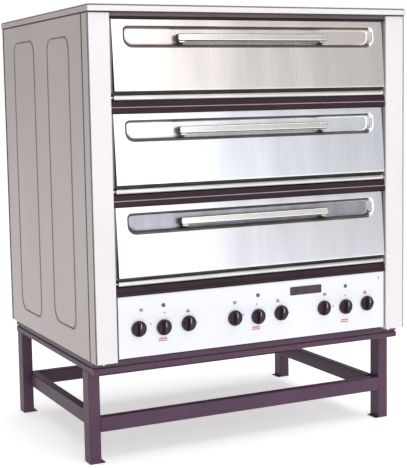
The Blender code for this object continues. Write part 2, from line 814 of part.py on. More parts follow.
def make_legs(oven):
    for end, near in LEG_FRONTS.items():
        for label, side in (("left", -1), ("right", 1)):
            make_leg(f"{end}_{label}", side, near, oven)


def make_stretchers(oven):
    """Low tubes between the legs: the cross ones butt on the legs' inner faces."""
    low_z, high_z = STRETCHER_BOTTOM, STRETCHER_TOP
    half = LEG_HALF - LEG_X - GAP
    for end, near in LEG_FRONTS.items():
        start = near + 0.001 if end == "front" else near + 0.003
        low, high = (-half, start, low_z), (half, start + STRETCHER_WIDTH, high_z)
        box_tube(f"{end}_stretcher", low, high, "X", "purple_enamel", oven)
    near = LEG_FRONTS["front"] + LEG_Y + GAP
    far = LEG_FRONTS["rear"] - GAP
    for label, side in (("left", -1), ("right", 1)):
        inner, outer = sorted((side * (STRETCHER_X - STRETCHER_WIDTH), side * STRETCHER_X))
        low, high = (inner, near, low_z), (outer, far, high_z)
        box_tube(f"{label}_stretcher", low, high, "Y", "purple_enamel", oven)


def make_deck(deck, holes, oven):
    base = hinge_height(deck)
    make_chamber(deck, holes, oven)
    make_hearth(deck, oven)
    make_element(deck + "_top_element", base + TOP_ELEMENT, oven)
    make_element(deck + "_bottom_element", base + BOTTOM_ELEMENT, oven)
    hinge = add_empty(deck + "_hinge_axis", (0.0, HINGE_DEPTH, base), oven)
    make_door_skin(deck, hinge)
    make_door_liner(deck, hinge)
    make_handle(deck, hinge)
    make_hinge_rod(deck, hinge)


def main():
    clear_scene()
    oven = add_empty("oven", (0.0, (KNOB_OVERHANG - COVER_DEPTH) / 2, 0.0))
    make_cover(oven)
    for label, side in (("left", -1), ("right", 1)):
        make_side(label + "_side_panel", side, oven)
        make_pillar(label + "_front_pillar", side, oven)
    make_rear(oven)
    make_gland(oven)
    make_rails(oven)
    make_control_panel(oven)
    make_switch_bracket(oven)
    for name, x, z in knob_places():
        make_knob(name, x, z, oven)
    holes = make_terminal_holes(oven)
    for deck in DECKS:
        make_deck(deck, holes, oven)
    make_jacket(holes, oven)
    make_base_pan(oven)
    make_stand_rails(oven)
    make_legs(oven)
    make_stretchers(oven)


main()
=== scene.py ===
# %% [markdown]
# A bakery deck oven: three baking chambers, one over the other, on a tube stand.
# The frame comes first. It holds every part at its real size and place, so each new
# piece here takes its numbers from the frame's boxes and is never placed by eye.

# %% Load the frame
import math

import bmesh
import bpy
from mathutils import Matrix, Vector


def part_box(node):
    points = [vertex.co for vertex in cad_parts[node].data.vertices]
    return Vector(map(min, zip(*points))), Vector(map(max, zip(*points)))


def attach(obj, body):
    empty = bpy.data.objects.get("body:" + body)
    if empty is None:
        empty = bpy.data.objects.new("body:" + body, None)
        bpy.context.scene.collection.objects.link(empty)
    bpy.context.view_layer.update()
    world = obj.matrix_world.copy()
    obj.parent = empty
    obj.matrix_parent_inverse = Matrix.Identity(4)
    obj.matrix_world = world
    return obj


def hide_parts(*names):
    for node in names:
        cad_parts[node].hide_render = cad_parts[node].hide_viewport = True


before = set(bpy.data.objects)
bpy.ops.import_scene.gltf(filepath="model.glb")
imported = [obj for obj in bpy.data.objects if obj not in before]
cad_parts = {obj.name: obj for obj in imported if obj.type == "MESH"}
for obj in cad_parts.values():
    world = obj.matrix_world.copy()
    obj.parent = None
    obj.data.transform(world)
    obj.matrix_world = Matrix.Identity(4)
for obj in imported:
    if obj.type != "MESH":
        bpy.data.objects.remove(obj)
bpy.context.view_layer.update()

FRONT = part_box("top_cover")[0].y
DECKS = ("upper", "middle", "lower")

# %% [markdown]
# The camera stands to the left of the oven, a little above its middle doors, and looks
# slightly down. Building its matrix from three directions keeps the small lean of the
# view, which a plain look-at constraint would lose.

# %% Camera
YAW, PITCH, LEAN = math.radians(24.98), math.radians(6.042), math.radians(-1.163)
CAMERA_PLACE = Vector((-2.03298, -4.10706, 1.30566))
LENS, SENSOR, SHIFT = 87.33, 36.0, (0.0668, -0.0354)


def aim_camera():
    flat = math.cos(PITCH)
    ahead = Vector((math.sin(YAW) * flat, math.cos(YAW) * flat, -math.sin(PITCH)))
    level = Vector((math.cos(YAW), -math.sin(YAW), 0.0))
    upright = level.cross(ahead)
    right = level * math.cos(LEAN) + upright * math.sin(LEAN)
    up = upright * math.cos(LEAN) - level * math.sin(LEAN)
    turn = Matrix((right, up, -ahead)).transposed().to_4x4()
    camera = bpy.data.objects.new("view_camera", bpy.data.cameras.new("view_camera"))
    camera.matrix_world = Matrix.Translation(CAMERA_PLACE) @ turn
    camera.data.lens = LENS
    camera.data.sensor_width = SENSOR
    camera.data.shift_x, camera.data.shift_y = SHIFT
    camera.data.dof.use_dof = False
    bpy.context.scene.collection.objects.link(camera)
    bpy.context.scene.camera = camera
    return camera


print("camera at", [round(v, 3) for v in aim_camera().location])

# %% [markdown]
# Studio light. Brushed steel shows what stands around it, so the light is built from
# large soft shapes: one wide box in front that the doors mirror on their left, and an
# even sky. The sky is white to the camera and quieter to everything else, which gives
# a clean backdrop while the steel still has something darker to show at its edges.

# %% Sky and lamps
def node(tree, kind, sockets=None, **values):
    """A new node, with its settings and the numbers on its sockets."""
    made = tree.nodes.new(kind)
    for name, value in values.items():
        setattr(made, name, value)
    for name, value in (sockets or {}).items():
        made.inputs[name].default_value = value
    return made


def ramp(tree, source, low, high, span=(0.0, 1.0)):
    """A colour ramp between two colours, fed by a socket."""
    made = node(tree, "ShaderNodeValToRGB")
    for stop, place, colour in zip(made.color_ramp.elements, span, (low, high)):
        stop.position = place
        stop.color = (*colour, 1)
    tree.links.new(source, made.inputs["Fac"])
    return made.outputs["Color"]


def fade(tree, source, start, end, low=0.0, high=1.0):
    """Runs from low to high while the source goes from start to end."""
    made = node(tree, "ShaderNodeMapRange",
                {"From Min": start, "From Max": end, "To Min": low, "To Max": high})
    tree.links.new(source, made.inputs["Value"])
    return made.outputs["Result"]


def build_sky(zenith, horizon, front, left_level, right_level):
    world = bpy.data.worlds.new("studio_sky")
    world.use_nodes = True
    bpy.context.scene.world = world
    tree = world.node_tree
    link = tree.links.new
    tree.nodes.clear()
    place = node(tree, "ShaderNodeTexCoord")
    split = node(tree, "ShaderNodeSeparateXYZ")
    link(place.outputs["Generated"], split.inputs[0])
    across, along, up = split.outputs
    blend = node(tree, "ShaderNodeMix", data_type="RGBA")
    link(fade(tree, along, -0.2, -0.9), blend.inputs["Factor"])
    link(ramp(tree, up, horizon, zenith, (0.0, 0.9)), blend.inputs[6])
    blend.inputs[7].default_value = (*front, 1)
    level = node(tree, "ShaderNodeMath", operation="MULTIPLY")
    link(fade(tree, across, -0.8, 0.1, low=left_level), level.inputs[0])
    link(fade(tree, across, 0.45, 0.70, 1.0, right_level), level.inputs[1])
    soft = node(tree, "ShaderNodeBackground")
    link(blend.outputs[2], soft.inputs["Color"])
    link(level.outputs["Value"], soft.inputs["Strength"])
    plain = node(tree, "ShaderNodeBackground", {"Color": (1, 1, 1, 1)})
    rays = node(tree, "ShaderNodeLightPath")
    choose = node(tree, "ShaderNodeMixShader")
    link(rays.outputs["Is Camera Ray"], choose.inputs["Fac"])
    link(soft.outputs[0], choose.inputs[1])
    link(plain.outputs[0], choose.inputs[2])
    out = node(tree, "ShaderNodeOutputWorld")
    link(choose.outputs[0], out.inputs["Surface"])


def soft_box(name, place, target, size, power):
    light = bpy.data.lights.new(name, "AREA")
    light.shape = "RECTANGLE"
    light.size, light.size_y = size
    light.energy = power
    lamp = bpy.data.objects.new(name, light)
    lamp.location = place
    towards = Vector(target) - Vector(place)
    lamp.rotation_euler = towards.to_track_quat("-Z", "Y").to_euler()
    lamp.visible_camera = False
    bpy.context.scene.collection.objects.link(lamp)
    print(name, size, "m,", power, "W")


bpy.context.scene.view_settings.view_transform = "Standard"
build_sky(zenith=(1.0, 1.0, 1.04), horizon=(0.34, 0.33, 0.33), front=(0.70, 0.69, 0.71),
          left_level=0.33, right_level=0.62)
soft_box("front_box", (0.15, -5.2, 2.2), (0.15, 0.0, 1.1), (3.4, 3.4), 60)
soft_box("low_box", (-0.4, -4.6, 0.5), (0.0, 0.0, 0.2), (3.6, 0.5), 7)
soft_box("top_box", (0.6, -0.6, 4.6), (0.0, 0.0, 0.0), (5.0, 5.0), 95)

# %% [markdown]
# The floor is a plain pale sheet, much larger than the oven, so that its edge is never
# seen. It isn't part of the object.

# %% Floor
def lay_floor(size, low, high, glow):
    bpy.ops.mesh.primitive_plane_add(size=size, location=(0, 0, 0))
    floor = bpy.context.object
    floor.name = "studio_floor"
    pale = bpy.data.materials.new("floor_pale")
    pale.use_nodes = True
    tree = pale.node_tree
    shader = tree.nodes["Principled BSDF"]
    place = node(tree, "ShaderNodeTexCoord")
    cloud = node(tree, "ShaderNodeTexNoise", {"Scale": 0.8})
    tree.links.new(place.outputs["Object"], cloud.inputs["Vector"])
    tint = ramp(tree, cloud.outputs["Fac"], low, high)
    tree.links.new(tint, shader.inputs["Base Color"])
    tree.links.new(tint, shader.inputs["Emission Color"])
    shader.inputs["Emission Strength"].default_value = glow
    shader.inputs["Roughness"].default_value = 0.8
    shader.inputs["Specular IOR Level"].default_value = 0.1
    floor.data.materials.append(pale)


lay_floor(size=120, low=(0.92, 0.92, 0.92), high=(0.95, 0.95, 0.95), glow=0.52)

# %% [markdown]
# Materials. Each finish is one small node tree: noise in object space varies the colour
# a little, varies the gloss, and raises a fine bump, because no real paint or sheet is
# the same all over. The helper takes the two ends of each range and the stretch of the
# noise, so grain can run along one axis as brushing does.

# %% A helper for finishes
def finish(name, colours, gloss, metal=0.0, scale=6.0, stretch=(1, 1, 1), grain=300.0,
           grain_stretch=(1, 1, 1), bump=0.02, bump_depth=0.0005, coat=0.0, mirror=0.5):
    made = bpy.data.materials.new(name)
    made.use_nodes = True
    tree = made.node_tree
    link = tree.links.new
    shader = tree.nodes["Principled BSDF"]
    place = node(tree, "ShaderNodeTexCoord")

    def noise(size, along, detail):
        turn = node(tree, "ShaderNodeMapping", {"Scale": along})
        pattern = node(tree, "ShaderNodeTexNoise", {"Scale": size, "Detail": detail})
        link(place.outputs["Object"], turn.inputs["Vector"])
        link(turn.outputs["Vector"], pattern.inputs["Vector"])
        return pattern.outputs["Fac"]

    tint = ramp(tree, noise(scale, stretch, 4.0), *colours, span=(0.3, 0.7))
    link(tint, shader.inputs["Base Color"])
    fine = noise(grain, grain_stretch, 2.0)
    link(fade(tree, fine, 0.0, 1.0, *gloss), shader.inputs["Roughness"])
    relief = node(tree, "ShaderNodeBump", {"Strength": bump, "Distance": bump_depth})
    link(fine, relief.inputs["Height"])
    link(relief.outputs["Normal"], shader.inputs["Normal"])
    shader.inputs["Metallic"].default_value = metal
    shader.inputs["Specular IOR Level"].default_value = mirror
    if coat:
        shader.inputs["Coat Weight"].default_value = coat
        shader.inputs["Coat Roughness"].default_value = 0.12
    print("finish", name)
    return made


# %% [markdown]
# The paints: white on the front and the cover, a warm grey on the sides that is partly the
# sheets' own grey and partly painted shade, and dark purple on the rails and the stand, the
# deck rails a darker copy that is painted shade. Sprayed enamel has a faint orange-peel skin,
# which is what the fine noise gives. The steels are metallic, and their grain is noise drawn
# out along the direction of brushing: upright on the doors, lengthwise on the handles.

# %% Finishes
PAINT = {"grain": 420, "bump": 0.10, "bump_depth": 0.0002}
DARK_PAINT = {"scale": 5, "grain": 350, "bump": 0.14, "bump_depth": 0.0003}
UPRIGHT_GRAIN = (1.0, 0.05, 0.012)
LENGTHWISE_GRAIN = (0.01, 1.0, 1.0)
# The three doors are one steel; each door's own tint, warmer above, bluer in the middle and greyer
# below, is painted reflection.
DOOR_REFLECTION_TINTS = {"upper": (0.77, 0.73, 0.695), "middle": (0.80, 0.835, 0.87),
              "lower": (0.745, 0.755, 0.79)}

white_enamel = finish("white_enamel", ((0.705, 0.678, 0.695), (0.745, 0.718, 0.735)), (0.32, 0.42),
                      scale=2.5, mirror=0.4, **PAINT)
panel_enamel = finish("panel_enamel", ((0.745, 0.760, 0.80), (0.785, 0.800, 0.84)), (0.32, 0.42),
                      scale=2.5, mirror=0.4, **PAINT)
# Partly the side sheets' own warm grey and partly painted shade; it also darkens the side faces of
# the white cover and pillars, and the rear panel.
shaded_side_enamel = finish("shaded_side_enamel", ((0.50, 0.440, 0.425), (0.55, 0.490, 0.470)), (0.36, 0.46),
                     scale=2.0, stretch=(1, 1, 0.4), **PAINT)
purple_enamel = finish("purple_enamel", ((0.070, 0.030, 0.062), (0.092, 0.043, 0.082)), (0.38, 0.52),
                       mirror=0.32, **DARK_PAINT)
header_enamel = finish("header_enamel", ((0.108, 0.083, 0.090), (0.145, 0.114, 0.122)), (0.38, 0.52),
                       **DARK_PAINT)
# Painted shade: a darker copy of the purple for the deck rails and the header's lower band.
rail_enamel = finish("rail_enamel", ((0.020, 0.010, 0.014), (0.032, 0.016, 0.023)), (0.40, 0.54),
                     mirror=0.18, **DARK_PAINT)
# Painted highlight: a lighter purple along the top of each rail's lip.
painted_lip_highlight = finish("painted_lip_highlight", ((0.30, 0.24, 0.27), (0.40, 0.33, 0.36)), (0.35, 0.5),
                   scale=18, grain=350, bump=0.10, bump_depth=0.0003)
# Painted shadow: near black for the strips in the joints and for the base tray's recess.
shadow_line_paint = finish("shadow_line_paint", ((0.050, 0.034, 0.032), (0.085, 0.062, 0.058)), (0.55, 0.75),
                 scale=22, grain=300, bump=0.25, bump_depth=0.0003)
# Painted shade: a dark grey for the rounded bends of the white sheets, the strips on the pillars'
# outer corners, and the jambs.
shade_line_enamel = finish("shade_line_enamel", ((0.115, 0.108, 0.108), (0.17, 0.16, 0.16)), (0.45, 0.60),
                     scale=14, **PAINT)
# Painted shade in the side panels' grooves; the grommet plugs take the same grey as their own
# colour.
groove_shade_and_plug_grey = finish("groove_shade_and_plug_grey", ((0.20, 0.170, 0.158), (0.26, 0.225, 0.212)), (0.45, 0.6),
                       scale=14, **PAINT)
# Painted highlight: a pale steel for the right end of each pocket.
painted_highlight_steel = finish("painted_highlight_steel", ((0.86, 0.86, 0.85), (0.93, 0.93, 0.92)), (0.40, 0.55),
                     metal=0.15, scale=12, grain=420, bump=0.03, bump_depth=0.0001)
# Painted shade: a dark brown for the pocket's rim and walls, the cove over each bead and the
# underside of each handle bar.
painted_shade = finish("painted_shade", ((0.075, 0.060, 0.050), (0.14, 0.115, 0.10)), (0.42, 0.60),
                    metal=0.5, scale=16, grain=260, bump=0.20, bump_depth=0.0003)
door_steels = {
    deck: finish(deck + "_door_steel", ([0.88 * c for c in tint], [1.06 * c for c in tint]),
                 (0.22, 0.38), metal=1.0, scale=4, stretch=(2.0, 1, 0.4), grain=420,
                 grain_stretch=UPRIGHT_GRAIN, bump=0.08, bump_depth=0.0002)
    for deck, tint in DOOR_REFLECTION_TINTS.items()
}
liner_steel = finish("liner_steel", ((0.55, 0.54, 0.52), (0.66, 0.65, 0.63)), (0.30, 0.45),
                     metal=1.0, scale=7, grain=700, grain_stretch=LENGTHWISE_GRAIN,
                     bump=0.05, bump_depth=0.0002)
polished_steel = finish("polished_steel", ((0.745, 0.73, 0.70), (0.825, 0.81, 0.775)), (0.20, 0.30),
                        metal=1.0, scale=9, grain=300, grain_stretch=LENGTHWISE_GRAIN,
                        bump=0.004, bump_depth=0.00005)
# Painted shade: the door's own steel made darker, for the rolled bead at its foot.
shaded_bead_steel = finish("shaded_bead_steel", ((0.56, 0.56, 0.555), (0.68, 0.68, 0.675)), (0.30, 0.42),
                    metal=1.0, scale=6, grain=420, grain_stretch=LENGTHWISE_GRAIN,
                    bump=0.02, bump_depth=0.0001)
# Painted shade and painted reflection: a darker, bluer copy of the door steel for the lower door's
# pocket floor.
shaded_pocket_steel = finish("shaded_pocket_steel", ((0.30, 0.30, 0.34), (0.41, 0.41, 0.46)), (0.26, 0.42),
                      metal=1.0, scale=9, stretch=(2.0, 1, 0.4), grain=420,
                      grain_stretch=UPRIGHT_GRAIN, bump=0.08, bump_depth=0.0002)
chamber_steel = finish("chamber_steel", ((0.20, 0.18, 0.165), (0.33, 0.30, 0.27)), (0.40, 0.60),
                       metal=1.0, scale=5, grain=120, bump=0.08, bump_depth=0.0004)
hearth_steel = finish("hearth_steel", ((0.055, 0.048, 0.042), (0.12, 0.10, 0.085)), (0.45, 0.70),
                      metal=0.7, scale=9, grain=160, bump=0.15, bump_depth=0.0005)
element_sheath = finish("element_sheath", ((0.10, 0.085, 0.07), (0.17, 0.14, 0.11)), (0.45, 0.65),
                        metal=0.6, scale=30, grain=250, bump=0.10, bump_depth=0.0003)
mineral_wool = finish("mineral_wool", ((0.42, 0.36, 0.20), (0.60, 0.53, 0.34)), (0.90, 1.0),
                      scale=25, grain=180, bump=0.8, bump_depth=0.004)
knob_plastic = finish("knob_plastic", ((0.022, 0.010, 0.016), (0.036, 0.018, 0.026)), (0.30, 0.42),
                      scale=40, grain=600, bump=0.05, bump_depth=0.0001, mirror=0.32)
black_nylon = finish("black_nylon", ((0.012, 0.012, 0.013), (0.022, 0.022, 0.023)), (0.45, 0.6),
                     scale=60, grain=700, bump=0.10, bump_depth=0.0002)
zinc = finish("zinc", ((0.55, 0.56, 0.58), (0.70, 0.71, 0.73)), (0.30, 0.50), metal=1.0,
              scale=28, grain=220, bump=0.06, bump_depth=0.0002)

# %% [markdown]
# Small helpers for modelling. A primitive is always started with nothing selected, and
# faces or edges are chosen by a test on their place or direction, which reads the same
# as the click it stands for. A finished piece has its place in its mesh, as the frame's
# own parts have, so its object stays at the origin.

# %% Modelling helpers
TINY = 1e-5


def clear_selection():
    if bpy.context.mode != "OBJECT":
        bpy.ops.object.mode_set(mode="OBJECT")
    bpy.ops.object.select_all(action="DESELECT")


def only(piece):
    clear_selection()
    piece.select_set(True)
    bpy.context.view_layer.objects.active = piece


def settle(piece):
    """Moves the piece's place, turn and scale into its mesh."""
    only(piece)
    bpy.ops.object.transform_apply(location=True, rotation=True, scale=True)
    return piece


def rename(piece, name):
    piece.name = piece.data.name = name
    return piece


def named(name):
    return settle(rename(bpy.context.object, name))


def start_block(name, low, high):
    """A cuboid between two corners, its place already in its mesh."""
    clear_selection()
    middle = [(a + b) / 2 for a, b in zip(low, high)]
    size = [b - a for a, b in zip(low, high)]
    bpy.ops.mesh.primitive_cube_add(size=1, location=middle, scale=size)
    return named(name)


def start_disc(name, radius, depth, middle, vertices):
    """A disc that faces -Y, its middle on the Y axis."""
    clear_selection()
    bpy.ops.mesh.primitive_cylinder_add(vertices=vertices, radius=radius, depth=depth,
                                        location=(0, middle, 0), rotation=(math.pi / 2, 0, 0))
    return named(name)


def pick(piece, kind, test=lambda item: True):
    """Opens the piece in edit mode with only the chosen faces, edges or vertices selected."""
    if bpy.context.mode != "EDIT_MESH":
        only(piece)
        bpy.ops.object.mode_set(mode="EDIT")
    bpy.ops.mesh.select_mode(type=kind[:-1].upper())
    bpy.ops.mesh.select_all(action="DESELECT")
    shape = bmesh.from_edit_mesh(piece.data)
    chosen = [item for item in getattr(shape, kind) if test(item)]
    for item in chosen:
        item.select = True
    shape.select_flush_mode()
    bmesh.update_edit_mesh(piece.data)
    return len(chosen)


def facing(axis, sign):
    """A test: the face looks along that axis, to that side."""
    return lambda face: face.normal[axis] * sign > 0.99


def leave_edit():
    bpy.ops.object.mode_set(mode="OBJECT")


def delete_picked(kind="FACE"):
    bpy.ops.mesh.delete(type=kind)
    leave_edit()


def bevel(offset, segments, profile=0.5, affect="EDGES"):
    """Rounds the edges or corners that are picked."""
    bpy.ops.mesh.bevel(offset=offset, offset_type="OFFSET", segments=segments, profile=profile,
                       affect=affect)


def extrude(x=0, y=0, z=0):
    bpy.ops.mesh.extrude_region_move(TRANSFORM_OT_translate={"value": (x, y, z)})


def terrace(steps, axis=1):
    """Steps the picked face inwards and along an axis: each step is (inset, move)."""
    for inset, move in steps:
        bpy.ops.mesh.inset(thickness=inset, depth=0)
        bpy.ops.transform.translate(value=[move if i == axis else 0 for i in range(3)])
    leave_edit()


def face_outwards():
    bpy.ops.mesh.select_all(action="SELECT")
    bpy.ops.mesh.normals_make_consistent(inside=False)
    leave_edit()


def apply(piece, kind, **values):
    only(piece)
    modifier = piece.modifiers.new(kind.lower(), kind)
    for name, value in values.items():
        setattr(modifier, name, value)
    bpy.ops.object.modifier_apply(modifier=modifier.name)


def soften(piece, width, segments=3, angle=32):
    """Rounds every edge sharper than the angle."""
    apply(piece, "BEVEL", width=width, segments=segments, limit_method="ANGLE",
          angle_limit=math.radians(angle), harden_normals=False)


def wall(piece, thickness):
    """Gives an open shell its sheet thickness, inwards."""
    pick(piece, "faces")
    bpy.ops.mesh.remove_doubles(threshold=0.00001)
    face_outwards()
    apply(piece, "SOLIDIFY", thickness=thickness, offset=-1.0, use_even_offset=True)


def place_piece(piece, body, finish_used, slot, *stands_for, angle=38):
    """The last step: smooth shading, finish, body, and the part it stands for. The slot is not used.
    """
    settle(piece)
    bpy.ops.object.shade_smooth_by_angle(angle=math.radians(angle))
    apply(piece, "WEIGHTED_NORMAL", mode="FACE_AREA", weight=50, keep_sharp=True)
    if finish_used is not None:
        piece.data.materials.clear()
        piece.data.materials.append(finish_used)
    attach(piece, body)
    if stands_for:
        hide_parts(*stands_for)
    print(piece.name, len(piece.data.polygons), "faces")
    return piece


def touch_up(piece, second, test):
    """Gives the faces that pass a test a second finish: painted shade in a seam, or ink on a knob.
    """
    piece.data.materials.append(second)
    slot = len(piece.data.materials) - 1
    count = 0
    for face in piece.data.polygons:
        if test(face):
            face.material_index = slot
            count += 1
    print(piece.name, count, "faces in", second.name)


def copy_of(piece, name, shift=(0, 0, 0)):
    """A copy with its own mesh, moved by a shift."""
    only(piece)
    bpy.ops.object.duplicate(linked=False)
    twin = rename(bpy.context.object, name)
    twin.location = Vector(shift)
    return settle(twin)


def join(pieces, name):
    only(pieces[0])
    for piece in pieces[1:]:
        piece.select_set(True)
    bpy.ops.object.join()
    return rename(bpy.context.object, name)


# %% [markdown]
# The door skin is the piece that the eye meets first: a stainless sheet that leans back
# a little, with a pressed pocket for the hand near its top and a rolled bead along its
# foot, round which it swings. Its sizes come first, then the helpers that its sheet work
# shares with the side panels.

# %% Door sizes and sheet helpers
DOOR_HALF = 0.5560
FACE_TOP, FACE_FOOT = (0.0012, 0.267), (-0.0178, 0.027)
DOOR_LEAN = math.atan2(FACE_TOP[0] - FACE_FOOT[0], FACE_TOP[1] - FACE_FOOT[1])
FACE_LENGTH = math.hypot(FACE_TOP[0] - FACE_FOOT[0], FACE_TOP[1] - FACE_FOOT[1])
DOOR_BACK, DOOR_FLOOR = 0.027, 0.018
BEAD_RADIUS = 0.0105
POCKET_WIDTH, POCKET_HEIGHT, POCKET_MIDDLE = 1.032, 0.078, 0.181
POCKET_DEPTH = 0.024
POCKET_RIM = [(0.0010, 0.0004), (0.0040, 0.0016), (0.0070, 0.0038), (0.0086, 0.0075)]
POCKET_WALL = [(0.0094, 0.0150), (0.0104, 0.0195), (0.0122, 0.0222), (0.0145, 0.0236),
               (0.0180, POCKET_DEPTH)]
POCKET_RISE, EDGE_STRIP = 0.005, 0.010
HINGE_DEPTH, HINGE_TOP, DECK_PITCH = 0.0225, 1.308, 0.324
HINGES = {deck: Vector((0, FRONT + HINGE_DEPTH, HINGE_TOP - DECK_PITCH * i))
          for i, deck in enumerate(DECKS)}


def start_sheet(name, width, height, middle):
    """A flat sheet that faces -Y, its middle at that height."""
    clear_selection()
    bpy.ops.mesh.primitive_plane_add(size=1, location=(0, 0, middle), rotation=(math.pi / 2, 0, 0))
    bpy.context.object.scale = (width, height, 1)
    return named(name)


def rounded_plate(name, width, height, middle, radii):
    """A sheet with rounded corners: top left, top right, bottom left, bottom right."""
    plate = start_sheet(name, width, height, middle)
    for radius, across, up in zip(radii, (-1, 1, -1, 1), (1, 1, -1, -1)):
        corner = Vector((across * width / 2, 0, middle + up * height / 2))
        pick(plate, "verts", lambda v: (v.co - corner).length < TINY)
        bevel(radius, 7, affect="VERTICES")
    leave_edit()
    return plate


def keep_outline(piece):
    pick(piece, "faces")
    delete_picked("ONLY_FACE")


def press(size, middle, steps, rise=0.0, upright=1.0):
    """Draws the selected rim inwards: each step is (inset from the mouth, depth). A rise
    moves the floor of the pressing up, which leaves a wider slope along its foot, and
    upright scales the inset at top and foot against the one at the sides."""
    width, height = size
    inset = depth = 0.0
    middle = Vector(middle)
    for next_inset, next_depth in steps:
        extrude(y=next_depth - depth)
        grow = ((width - 2 * next_inset) / (width - 2 * inset), 1,
                (height - 2 * upright * next_inset) / (height - 2 * upright * inset))
        bpy.ops.transform.resize(value=grow, center_override=middle)
        lift = rise * (next_inset - inset) / steps[-1][0]
        bpy.ops.transform.translate(value=(0, 0, lift))
        middle.z += lift
        inset, depth = next_inset, next_depth
    bpy.ops.mesh.edge_face_add()
    leave_edit()


def fill_outline(piece):
    """Draws one sheet between the outlines, with each inner one left as a hole."""
    keep_outline(piece)
    pick(piece, "edges")
    bpy.ops.mesh.fill(use_beauty=True)
    leave_edit()


def open_rim(inside):
    """A test: an edge of a hole, with both ends in a region."""
    return lambda e: len(e.link_faces) == 1 and all(inside(v.co) for v in e.verts)


# %% [markdown]
# The pocket could be cut with a Boolean, but a pressing has no sharp cuts. So its mouth is
# drawn first as a rounded outline, the face is filled around it, and the rim is then
# extruded inwards in small steps that bend like the sheet.

# %% Door face with its pocket
def lean(piece):
    """From the face's own frame, where it stands upright on the origin, to the leaning door."""
    piece.rotation_euler = (-DOOR_LEAN, 0, 0)
    piece.location = (0, *FACE_FOOT)
    return settle(piece)


def model_door_skin():
    mouth = rounded_plate("mouth", POCKET_WIDTH, POCKET_HEIGHT, POCKET_MIDDLE,
                          (0.018, 0.018, 0.034, 0.034))
    face = start_sheet("face", 2 * DOOR_HALF, FACE_LENGTH, FACE_LENGTH / 2)
    skin = join([face, mouth], "door_skin")
    fill_outline(skin)
    pick(skin, "edges", open_rim(lambda co: abs(co.x) < DOOR_HALF - EDGE_STRIP
                                 and EDGE_STRIP < co.z < FACE_LENGTH - EDGE_STRIP))
    press((POCKET_WIDTH, POCKET_HEIGHT), (0, 0, POCKET_MIDDLE), POCKET_RIM + POCKET_WALL,
          POCKET_RISE)
    return lean(skin)


door_skin = model_door_skin()
print("door face", len(door_skin.data.polygons), "faces")

# %% [markdown]
# Under the face the same sheet turns in under a lip, runs down a short cove and curls
# round the hinge rod. The foot edge is extruded point by point, and the curl is one spin
# about the hinge axis. The open shell gets its thickness, only then are its folds
# rounded, and a flat plate closes each end, as it would be welded in.

# %% Door foot, thickness and ends
LIP, UNDER, COVE = (-0.0170, 0.0215), (-0.0120, 0.0205), (0.0060, 0.0205)
CURL_START, CURL_SWEEP = math.radians(75), math.radians(320)
DOOR_SHEET, FOLD_RADIUS = 0.0012, 0.0005
PLATE_SHRINK, PLATE_RECESS = (1, 0.965, 0.993), 0.0002


def on_bead(turn):
    return BEAD_RADIUS * math.cos(turn), BEAD_RADIUS * math.sin(turn)


def on_line(point, near=2e-4):
    """A test: both ends of the edge lie on the line through that (y, z) point."""
    return lambda e: all(abs(v.co.y - point[0]) < near and abs(v.co.z - point[1]) < near
                         for v in e.verts)


def extrude_to(start, points):
    for point in points:
        extrude(y=point[0] - start[0], z=point[1] - start[1])
        start = point


def fold_door_foot(skin):
    start, end = on_bead(CURL_START), on_bead(CURL_START + CURL_SWEEP)
    pick(skin, "edges", on_line(FACE_FOOT))
    extrude_to(FACE_FOOT, [LIP, UNDER, COVE, start])
    bpy.ops.mesh.spin(steps=24, angle=CURL_SWEEP, center=(0, 0, 0), axis=(-1, 0, 0))
    pick(skin, "edges", on_line(end))
    extrude_to(end, [(DOOR_BACK, DOOR_FLOOR)])
    pick(skin, "edges", on_line(FACE_TOP))
    extrude_to(FACE_TOP, [(DOOR_BACK, FACE_TOP[1])])
    leave_edit()


def end_plate(skin, side):
    """Only the corners of the sheet's end edge are kept, and one face joins them."""
    plate = copy_of(skin, "end_plate")
    pick(plate, "verts")
    delete_picked("EDGE_FACE")
    pick(plate, "verts", lambda v: abs(v.co.x - side * DOOR_HALF) > TINY
         or v.co.yz.length < BEAD_RADIUS + 0.001)
    delete_picked("VERT")
    pick(plate, "verts")
    bpy.ops.mesh.edge_face_add()
    bpy.ops.transform.resize(value=PLATE_SHRINK)
    bpy.ops.transform.translate(value=(-side * PLATE_RECESS, 0, 0))
    extrude(x=-side * DOOR_SHEET)
    face_outwards()
    return plate


fold_door_foot(door_skin)
plates = [end_plate(door_skin, side) for side in (-1, 1)]
wall(door_skin, DOOR_SHEET)
folds = [on_line(point)
         for point in (FACE_TOP, LIP, COVE, on_bead(CURL_START), on_bead(CURL_START + CURL_SWEEP))]
pick(door_skin, "edges", lambda e: any(fold(e) for fold in folds))
bevel(FOLD_RADIUS, 2)
door_skin = join([door_skin] + plates, "door_skin")


def in_face(point):
    """(across, depth, up) of a point of the door in its leaning face's own frame."""
    y, z = point.y - FACE_FOOT[0], point.z - FACE_FOOT[1]
    cosine, sine = math.cos(DOOR_LEAN), math.sin(DOOR_LEAN)
    return point.x, y * cosine - z * sine, y * sine + z * cosine


